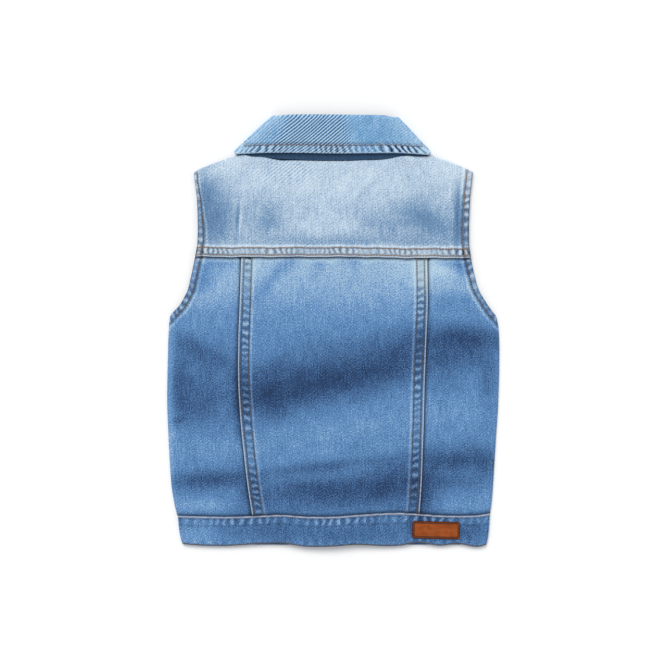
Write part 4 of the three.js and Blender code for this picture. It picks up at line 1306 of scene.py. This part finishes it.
def build_waistband():
    """Doubled strip that runs round both side folds and laps in front."""
    depth = places(0, (1.4, 0.28), (12, FINE_STEP), (26.5, CLOTH_STEP), (29.6, 0.4), (30.5, 0.25))
    middle = np.array([band_line(row) for row in depth / depth[-1]])
    run = unit(np.gradient(middle[..., [0, 2]], axis=1))
    across = points_at(-run[..., 1], 0, run[..., 0])
    along = run_lengths(middle[LENGTH_ROW][:, [0, 2]])[None, :] + 0 * middle[..., 0]
    d = depth[:, None] + 0 * along
    hem_side = depth[-1] - d
    on_back = smooth((across[..., 2] + 0.2) / 0.9)
    marks = Marks(middle[..., 0], middle[..., 1])
    marks.ladder(d, along, 2.0, BAND_ALLOWANCE - 1, *BAND_PUCKER, 1.0, on_back)
    marks.ladder(hem_side, along, 1.5, 4, 9.7, 1.1, 0.4, on_back)
    marks.relief = marks.relief + on_back * 0.22 * (1 - smooth((d - BAND_ALLOWANCE) / 1.2))
    marks.line(d, BAND_ROW, 0.8, relief=-STITCH_SINK)
    marks.line(d, 0, 0.5, shade=0.5)
    marks.line(d, BAND_ROW + 1.5, 0.8, shade=0.38 + 0.2 * ripple(along, 5.3, 2.2))
    marks.line(d, BAND_ALLOWANCE + 1.2, 1.0, shade=0.26 + 0.2 * ripple(along, 11, 0.6))
    marks.line(d, BAND_ROW - 0.8, 0.55, wear=0.5 + 0.3 * ripple(along, 13, 1.9))
    marks.line(hem_side, BAND_HEM_ROW, 0.75, relief=-0.25)
    marks.line(hem_side, 0, 0.9, shade=0.36 + 0.2 * ripple(along, 31, 0.9))
    marks.rounded(d)
    marks.rounded(hem_side, 1.0)
    marks.kept_raised(on_back)
    outer = middle + across * (DOUBLE_CLOTH / 2 + marks.relief)[..., None]
    lining = DOUBLE_CLOTH / 2 - edge_drop(np.minimum(d, hem_side), 0.6)
    inner = middle - across * lining[..., None]
    middle_at = nearest(np.where(on_back[0] < 0.9, np.inf, middle[0, :, 0]), 0)
    cloth = points_at(along - along[0, middle_at], -d, 0)
    piece = make_wall("waistband_cloth", outer, inner, marks.fields(cloth=cloth))
    finish_piece(piece, panel_denim(), ["waistband"])
    sink = (1 - on_back)[..., None] * across * 0.35
    for group, wanted in (("band_top", BAND_ROW), ("band_hem", depth[-1] - BAND_HEM_ROW)):
        at = nearest(depth, wanted)
        keep_row(group, (outer - sink)[at], across[at])


def collar_sections():
    """Arrays of the collar's table values and turn angles round the neck."""
    names = NeckPoint._fields
    values = {name: [] for name in names}
    angles = []

    def add(found, angle):
        for name in names:
            values[name].append(np.atleast_1d(found[name]) + 0 * np.atleast_1d(angle))
        angles.append(np.atleast_1d(angle))

    def front(table, side, shares, seam_shares):
        at = shares * (len(table) - 1)
        found = {name: curve(table, None, name)(at) for name in WingPoint._fields}
        turn = mix(0.04, math.pi / 2, seam_shares)
        found["neckX"] = side * (NECK_HALF - NECK_SLACK) * np.sin(turn)
        found["neckY"] = FRONT_NECK_CENTRE_Y - (FRONT_NECK_DEPTH - NECK_SLACK) * np.cos(turn)
        add(found, 0 * shares)

    shares = np.linspace(0, 1, WING_STEPS)
    front(COLLAR_FRONT_LEFT, -1, shares, shares)
    turn = half_turn()
    add(COLLAR_BACK[0]._asdict(), turn)
    at = np.linspace(0, len(COLLAR_BACK) - 1, NECK_STEPS)
    add({name: curve(COLLAR_BACK, None, name)(at) for name in names}, math.pi + 0 * at)
    add(COLLAR_BACK[-1]._asdict(), turn[::-1])
    front(COLLAR_FRONT_RIGHT, 1, shares, 1 - shares)
    return {name: np.concatenate(parts) for name, parts in values.items()}, np.concatenate(angles)


def collar_middle(at, angle, over, to_edge):
    """Grid through the middle of the collar's thickness, from neck seam to free edge."""
    bulge = np.sin(angle)
    sign = np.where(at["neckX"] < 0, -1, 1)
    line = unit(np.stack([at["foldX"] - at["neckX"], at["foldY"] - at["neckY"]], -1))
    outward = np.stack([line[:, 1] * sign, -line[:, 0] * sign], -1)

    def point(x, y, low, high, flatten):
        push = (high - low) / 2 * bulge * flatten
        x, y = x + outward[:, 0] * push, y + outward[:, 1] * push
        return points_at(x, y, mix(low, high, over))

    neck_high = back_top(at["neckX"], at["neckY"]) - CLOTH / 2
    edge_high = back_top(at["edgeX"], at["edgeY"]) + FALL_OVER_YOKE
    grid = []
    for share in np.linspace(0, 1, STAND_STEPS):
        x = mix(at["neckX"], at["foldX"], share)
        y = mix(at["neckY"], at["foldY"], share)
        high = mix(neck_high, BACK_ROLL_LOW_Z, share)
        grid.append(point(x, y, FRONT_STAND_Z, high, 1 - 0.6 * smooth(share * 2 - 1)))
    low = point(at["foldX"], at["foldY"], FRONT_STAND_Z, BACK_ROLL_LOW_Z, 0.4)
    high = point(at["foldX"], at["foldY"], FRONT_FALL_Z, BACK_ROLL_HIGH_Z, FOLD_ROUND)
    centre = (low + high) / 2
    start = low - centre
    radius = np.linalg.norm(start, axis=1, keepdims=True)
    ahead = np.concatenate([line, 0 * radius], 1)
    for turn in np.linspace(0, math.pi, ROLL_STEPS)[1:-1]:
        grid.append(centre + start * math.cos(turn) + ahead * radius * math.sin(turn))
    for distance in to_edge:
        share = 1 - distance / COLLAR_FALL
        x = mix(at["foldX"], at["edgeX"], share)
        y = mix(at["foldY"], at["edgeY"], share)
        bow = mix(FOLD_ROUND, FALL_ROUND, smooth(share * 3))
        grid.append(point(x, y, FRONT_FALL_Z, mix(BACK_ROLL_HIGH_Z, edge_high, share), bow))
    return np.array(grid)


def build_collar():
    """One doubled piece that rolls outwards, flattened from neck point to neck point."""
    at, angle = collar_sections()
    over = (1 - np.cos(angle)) / 2
    to_edge = places(0, (1.2, 0.24), (11, FINE_STEP), (COLLAR_FALL, 0.9))[::-1]
    middle = collar_middle(at, angle, over, to_edge)
    steps = np.linalg.norm(np.diff(middle, axis=0), axis=-1)
    depth = np.concatenate([np.cumsum(steps[::-1], axis=0)[::-1], 0 * steps[:1]])
    back = len(angle) // 2
    depth = depth[:, back:back + 1] + 0 * depth
    normals = grid_normals(middle)
    if normals[-1, back, 2] < 0:
        normals = -normals
    along = run_lengths(middle[-1])[None, :] + 0 * depth
    along = along - along[0, back]
    on_back = smooth(over * 2)[None, :] + 0 * depth
    marks = Marks(middle[..., 0], middle[..., 1])
    towards_right = on_back * smooth((along - 8) / 20)
    for contrast, share in ((2.0, on_back), (1.1, towards_right)):
        marks.ladder(depth, along, 0.2, COLLAR_ROW - 1.2, 6.6, 6.1, contrast, share)
    marks.line(depth, 0.7, 0.8, wear=0.4 + 0.25 * ripple(along, 9, 3.1))
    marks.line(depth, COLLAR_ROW, 0.9, relief=-STITCH_SINK, shade=0.26)
    marks.line(depth, COLLAR_ROW + 1.6, 0.9, shade=0.3)
    marks.rounded(depth, 1.0)
    marks.relief = marks.relief + 0.4 * spots(COLLAR_WAVES, marks.x, marks.y)
    marks.relief = marks.relief + 0.15 * (1 - smooth((depth - COLLAR_ROW + 1) / 1.4))
    marks.kept_raised(on_back)
    outer = middle + normals * (DOUBLE_CLOTH / 2 + marks.relief)[..., None]
    inner = middle - normals * (DOUBLE_CLOTH / 2 - edge_drop(depth, 0.6))[..., None]
    # Rows of the stand and roll under the fall, which take painted shadow of the fall
    under = np.arange(len(depth))[:, None] < STAND_STEPS + ROLL_STEPS // 2
    marks.shade = marks.shade + 0.82 * under
    ends = [mix(end.roll, end.edge, (end.y - marks.y) / end.length) for end in COLLAR_ENDS]
    from_end = np.where(marks.x < 0, *ends) - np.abs(marks.x)
    faded = 0.13 * np.exp(-((from_end / 9) ** 2)) + spots(COLLAR_WASH, marks.x, marks.y)
    # Painted shadow of the fall: the stand under it takes a darker level
    level = np.where(under, 0.42, 0.62 + faded) - wash(marks.x, marks.y)
    twill = 0.12 + 1.05 * np.exp(-(((along + 24) / 41) ** 8) - ((depth - 18) / 26) ** 4)
    twill = twill + 0.3 * np.exp(-(((along + 74) / 20) ** 2))
    ring = points_at(along, depth, 0)
    cloth = mix(ring, middle * (1, 1, 0), on_back[..., None])
    piece = make_wall("collar_cloth", outer, inner, marks.fields(level, twill, cloth))
    colours = properties()
    material = denim_material(
        "Collar Denim", colours.dark_collar, colours.mid_collar, colours.pale_collar,
        twill=0.55, period=2.5, grain=1.0)
    finish_piece(piece, material, ["collar"])
    at_row = len(depth) - len(to_edge) + nearest(to_edge, COLLAR_ROW)
    turned = smooth((over - 0.3) / 0.1) * (1 - smooth((over - 0.94) / 0.05))
    sink = normals * (0.5 * (1 - on_back) + 0.9 * turned)[..., None]
    keep_row("collar", (outer - sink)[at_row], normals[at_row])


def build_patch():
    """Leather patch, made from the waistband's own face and moved out."""
    tilt = math.radians(PATCH_TILT)
    half = PATCH_WIDTH / 2

    def turned(u, v):
        x = PATCH_X + u * math.cos(tilt) - v * math.sin(tilt)
        y = PATCH_Y + u * math.sin(tilt) + v * math.cos(tilt)
        return x, y, back_top(x, y) + BAND_RISE + SEAM_GAP

    v = places(-half, (-half + 4, 0.25), (half - 4, 0.5), (half, 0.25))[:, None]
    share = places(-1, (-0.84, 0.0105), (0.84, 0.021), (1, 0.0105))[None, :]
    near = np.maximum(0, PATCH_CORNER - (half - np.abs(v)))
    inset = PATCH_CORNER - np.sqrt(PATCH_CORNER ** 2 - near ** 2)
    u = share * (PATCH_LENGTH / 2 - inset)
    x, y, base = turned(u, v)
    edge = np.minimum(PATCH_LENGTH / 2 - inset - np.abs(u), half - np.abs(v))
    border = np.exp(-(((edge - PATCH_BORDER) / 0.45) ** 2))
    face = base + PATCH_THICKNESS - 0.35 * border - 0.7 * edge_drop(edge, 0.9)
    outer = points_at(x, y, face)
    inner = points_at(x, y, base)
    shade = np.clip(0.95 * np.exp(-((edge / 1.3) ** 2)) + 0.5 * border, 0, 1)
    piece = make_wall("leather_patch", outer, inner, {"shade": shade})
    finish_piece(piece, leather_material(), ["waistband_patch"])
    ring = []
    radius = PATCH_CORNER - PATCH_BORDER * 0.5
    for corner_u, corner_v, first in ((1, -1, -90), (1, 1, 0), (-1, 1, 90), (-1, -1, 180)):
        for step in np.linspace(first, first + 90, 7):
            turn = math.radians(step)
            ring.append((
                corner_u * (PATCH_LENGTH / 2 - PATCH_BORDER - radius) + radius * math.cos(turn),
                corner_v * (half - PATCH_BORDER - radius) + radius * math.sin(turn),
            ))
    ring = np.array(ring + ring[:1])
    x, y, base = turned(ring[:, 0], ring[:, 1])
    path = points_at(x, y, base + PATCH_THICKNESS - STITCH_SINK)
    keep_row("patch", path, np.zeros_like(path) + (0, 0, 1))


def build_button(index):
    """Metal shank button with a rim, a ring of beads and a plain hollow."""
    turn = np.arange(BUTTON_SIDES) * 2 * math.pi / BUTTON_SIDES
    y = mix(BUTTON_TOP_Y, BUTTON_LOW_Y, index / (BUTTON_COUNT - 1))
    rings = []
    for radius, height in BUTTON_PROFILE:
        bead = 0.12 * np.cos(turn * 12) if 3.0 < radius < 4.0 else 0 * turn
        x_ring, y_ring = radius * np.cos(turn), y + radius * np.sin(turn)
        rings.append(points_at(x_ring, y_ring, height + bead))
    points = np.concatenate(rings)
    grid = np.arange(len(points)).reshape(-1, BUTTON_SIDES)
    ahead = np.roll(grid, -1, axis=1)
    faces = np.stack([grid[:-1], grid[1:], ahead[1:], ahead[:-1]], -1).reshape(-1, 4)
    caps = []
    for ring, order in ((grid[0], 1), (grid[-1], -1)):
        for k in range(1, BUTTON_SIDES - 2, 2):
            caps.append([ring[0], ring[k], ring[k + 1], ring[k + 2]][::order])
    faces = np.concatenate([faces, caps])
    piece = make_mesh(f"button_metal_{index + 1}", points, faces)
    brass = bpy.data.materials.get("Button Brass") or metal_material()
    finish_piece(piece, brass, [f"button_{index + 1}"])


class VEST_OT_yoke(bpy.types.Operator):
    """Build the back yoke"""

    bl_idname = "vest.yoke"
    bl_label = "Back Yoke"

    def execute(self, context):
        build_yoke()
        return {"FINISHED"}


class VEST_OT_back_panels(bpy.types.Operator):
    """Build the centre and side back panels"""

    bl_idname = "vest.back_panels"
    bl_label = "Back Panels"

    def execute(self, context):
        build_centre_panel()
        build_side_panel("side_panel_left_cloth", "back_side_panel_left", -1)
        build_side_panel("side_panel_right_cloth", "back_side_panel_right", 1)
        return {"FINISHED"}


class VEST_OT_fronts(bpy.types.Operator):
    """Build the fronts and their button bands"""

    bl_idname = "vest.fronts"
    bl_label = "Fronts"

    def execute(self, context):
        above = BAND_CLOTH + SEAM_GAP
        build_front_panel("front_left_cloth", "front_panel_left", -1, 0)
        build_front_panel("front_right_cloth", "front_panel_right", 1, above)
        build_front_band("band_left_cloth", "front_band_left", CENTRE_LIFT, True)
        build_front_band("band_right_cloth", "front_band_right", CENTRE_LIFT + above, False)
        return {"FINISHED"}


class VEST_OT_waistband(bpy.types.Operator):
    """Build the waistband"""

    bl_idname = "vest.waistband"
    bl_label = "Waistband"

    def execute(self, context):
        build_waistband()
        return {"FINISHED"}


class VEST_OT_collar(bpy.types.Operator):
    """Build the collar"""

    bl_idname = "vest.collar"
    bl_label = "Collar"

    def execute(self, context):
        build_collar()
        return {"FINISHED"}


class VEST_OT_trims(bpy.types.Operator):
    """Build the leather patch and the buttons"""

    bl_idname = "vest.trims"
    bl_label = "Patch and Buttons"

    def execute(self, context):
        build_patch()
        for index in range(BUTTON_COUNT):
            build_button(index)
        return {"FINISHED"}


class VEST_OT_sewing(bpy.types.Operator):
    """Sew the rows of stitches that the cloth pieces left"""

    bl_idname = "vest.sewing"
    bl_label = "Topstitching"

    def execute(self, context):
        if not SEWING:
            raise RuntimeError("The cloth pieces have to be built before they are sewn")
        colours = properties()
        spun = {}
        for name in (*THREADS.values(), "tan"):
            colour = getattr(colours, f"{name}_thread")
            spun[name] = thread_material(f"{name.title()} Thread", colour)
        width = colours.thread_width / MM
        for group, rows in SEWING.items():
            material = spun[THREADS.get(group, "tan")]
            fill, share = (0.98, 0.68) if group == "band_top" else (0.86, 1)
            sew(f"{group}_stitching", rows, material, fill, share * width)
        return {"FINISHED"}


class VEST_OT_stage(bpy.types.Operator):
    """Set up the pale floor, the soft light and the camera"""

    bl_idname = "vest.stage"
    bl_label = "Studio"

    def execute(self, context):
        scene = context.scene
        mesh = bpy.data.meshes.new("studio_floor")
        corners = [(a * FLOOR_REACH, b * FLOOR_REACH, FLOOR_LEVEL) for a, b in FLOOR_CORNERS]
        mesh.from_pydata(corners, [], [(0, 1, 2, 3)])
        floor = bpy.data.objects.new("studio_floor", mesh)
        scene.collection.objects.link(floor)
        material, _, shader = new_material("Floor White")
        shader.inputs["Base Color"].default_value = (0.985, 0.985, 0.985, 1)
        shader.inputs["Roughness"].default_value = 0.9
        shader.inputs["Specular IOR Level"].default_value = 0.1
        mesh.materials.append(material)
        world = bpy.data.worlds.new("Studio World")
        world.use_nodes = True
        background = world.node_tree.nodes["Background"]
        background.inputs["Color"].default_value = (1.0, 1.0, 1.0, 1)
        background.inputs["Strength"].default_value = SKY_STRENGTH
        scene.world = world
        sun = bpy.data.lights.new("soft_sun", "SUN")
        sun.energy = SUN_STRENGTH
        sun.angle = SUN_SOFTNESS
        lamp = bpy.data.objects.new("soft_sun", sun)
        lamp.location = SUN_PLACE
        lamp.rotation_euler = (-lamp.location).to_track_quat("-Z", "Y").to_euler()
        scene.collection.objects.link(lamp)
        camera = bpy.data.cameras.new("picture_camera")
        camera.sensor_width = SENSOR
        camera.lens = SENSOR * CAMERA_HEIGHT / PICTURE_SIDE
        camera.clip_end = 30
        holder = bpy.data.objects.new("picture_camera", camera)
        centre_x, centre_y = PICTURE_CENTRE
        holder.location = (centre_x * MM, centre_y * MM, (CAMERA_HEIGHT + 5) * MM)
        scene.collection.objects.link(holder)
        scene.camera = holder
        scene.view_settings.view_transform = "Standard"
        scene.view_settings.look = "None"
        return {"FINISHED"}


class VEST_PT_panel(bpy.types.Panel):
    """Sidebar panel with the vest's sizes, colours and pieces"""

    bl_idname = "VEST_PT_panel"
    bl_label = "Denim Vest"
    bl_space_type = "VIEW_3D"
    bl_region_type = "UI"
    bl_category = "Denim Vest"

    def draw(self, context):
        for key in VestProperties.__annotations__:
            self.layout.prop(context.scene.denim_vest, key)
        for operator in OPERATORS:
            self.layout.operator(operator.bl_idname)


OPERATORS = (
    VEST_OT_yoke,
    VEST_OT_back_panels,
    VEST_OT_fronts,
    VEST_OT_waistband,
    VEST_OT_collar,
    VEST_OT_trims,
    VEST_OT_sewing,
    VEST_OT_stage,
)
CLASSES = (VestProperties, *OPERATORS, VEST_PT_panel)


def register():
    for each in CLASSES:
        bpy.utils.register_class(each)
    bpy.types.Scene.denim_vest = bpy.props.PointerProperty(type=VestProperties)


def unregister():
    del bpy.types.Scene.denim_vest
    for each in reversed(CLASSES):
        bpy.utils.unregister_class(each)


def main():
    register()
    bpy.ops.vest.stage()
    bpy.ops.vest.yoke()
    bpy.ops.vest.back_panels()
    bpy.ops.vest.fronts()
    bpy.ops.vest.waistband()
    bpy.ops.vest.collar()
    bpy.ops.vest.trims()
    bpy.ops.vest.sewing()


if __name__ == "__main__":
    main()
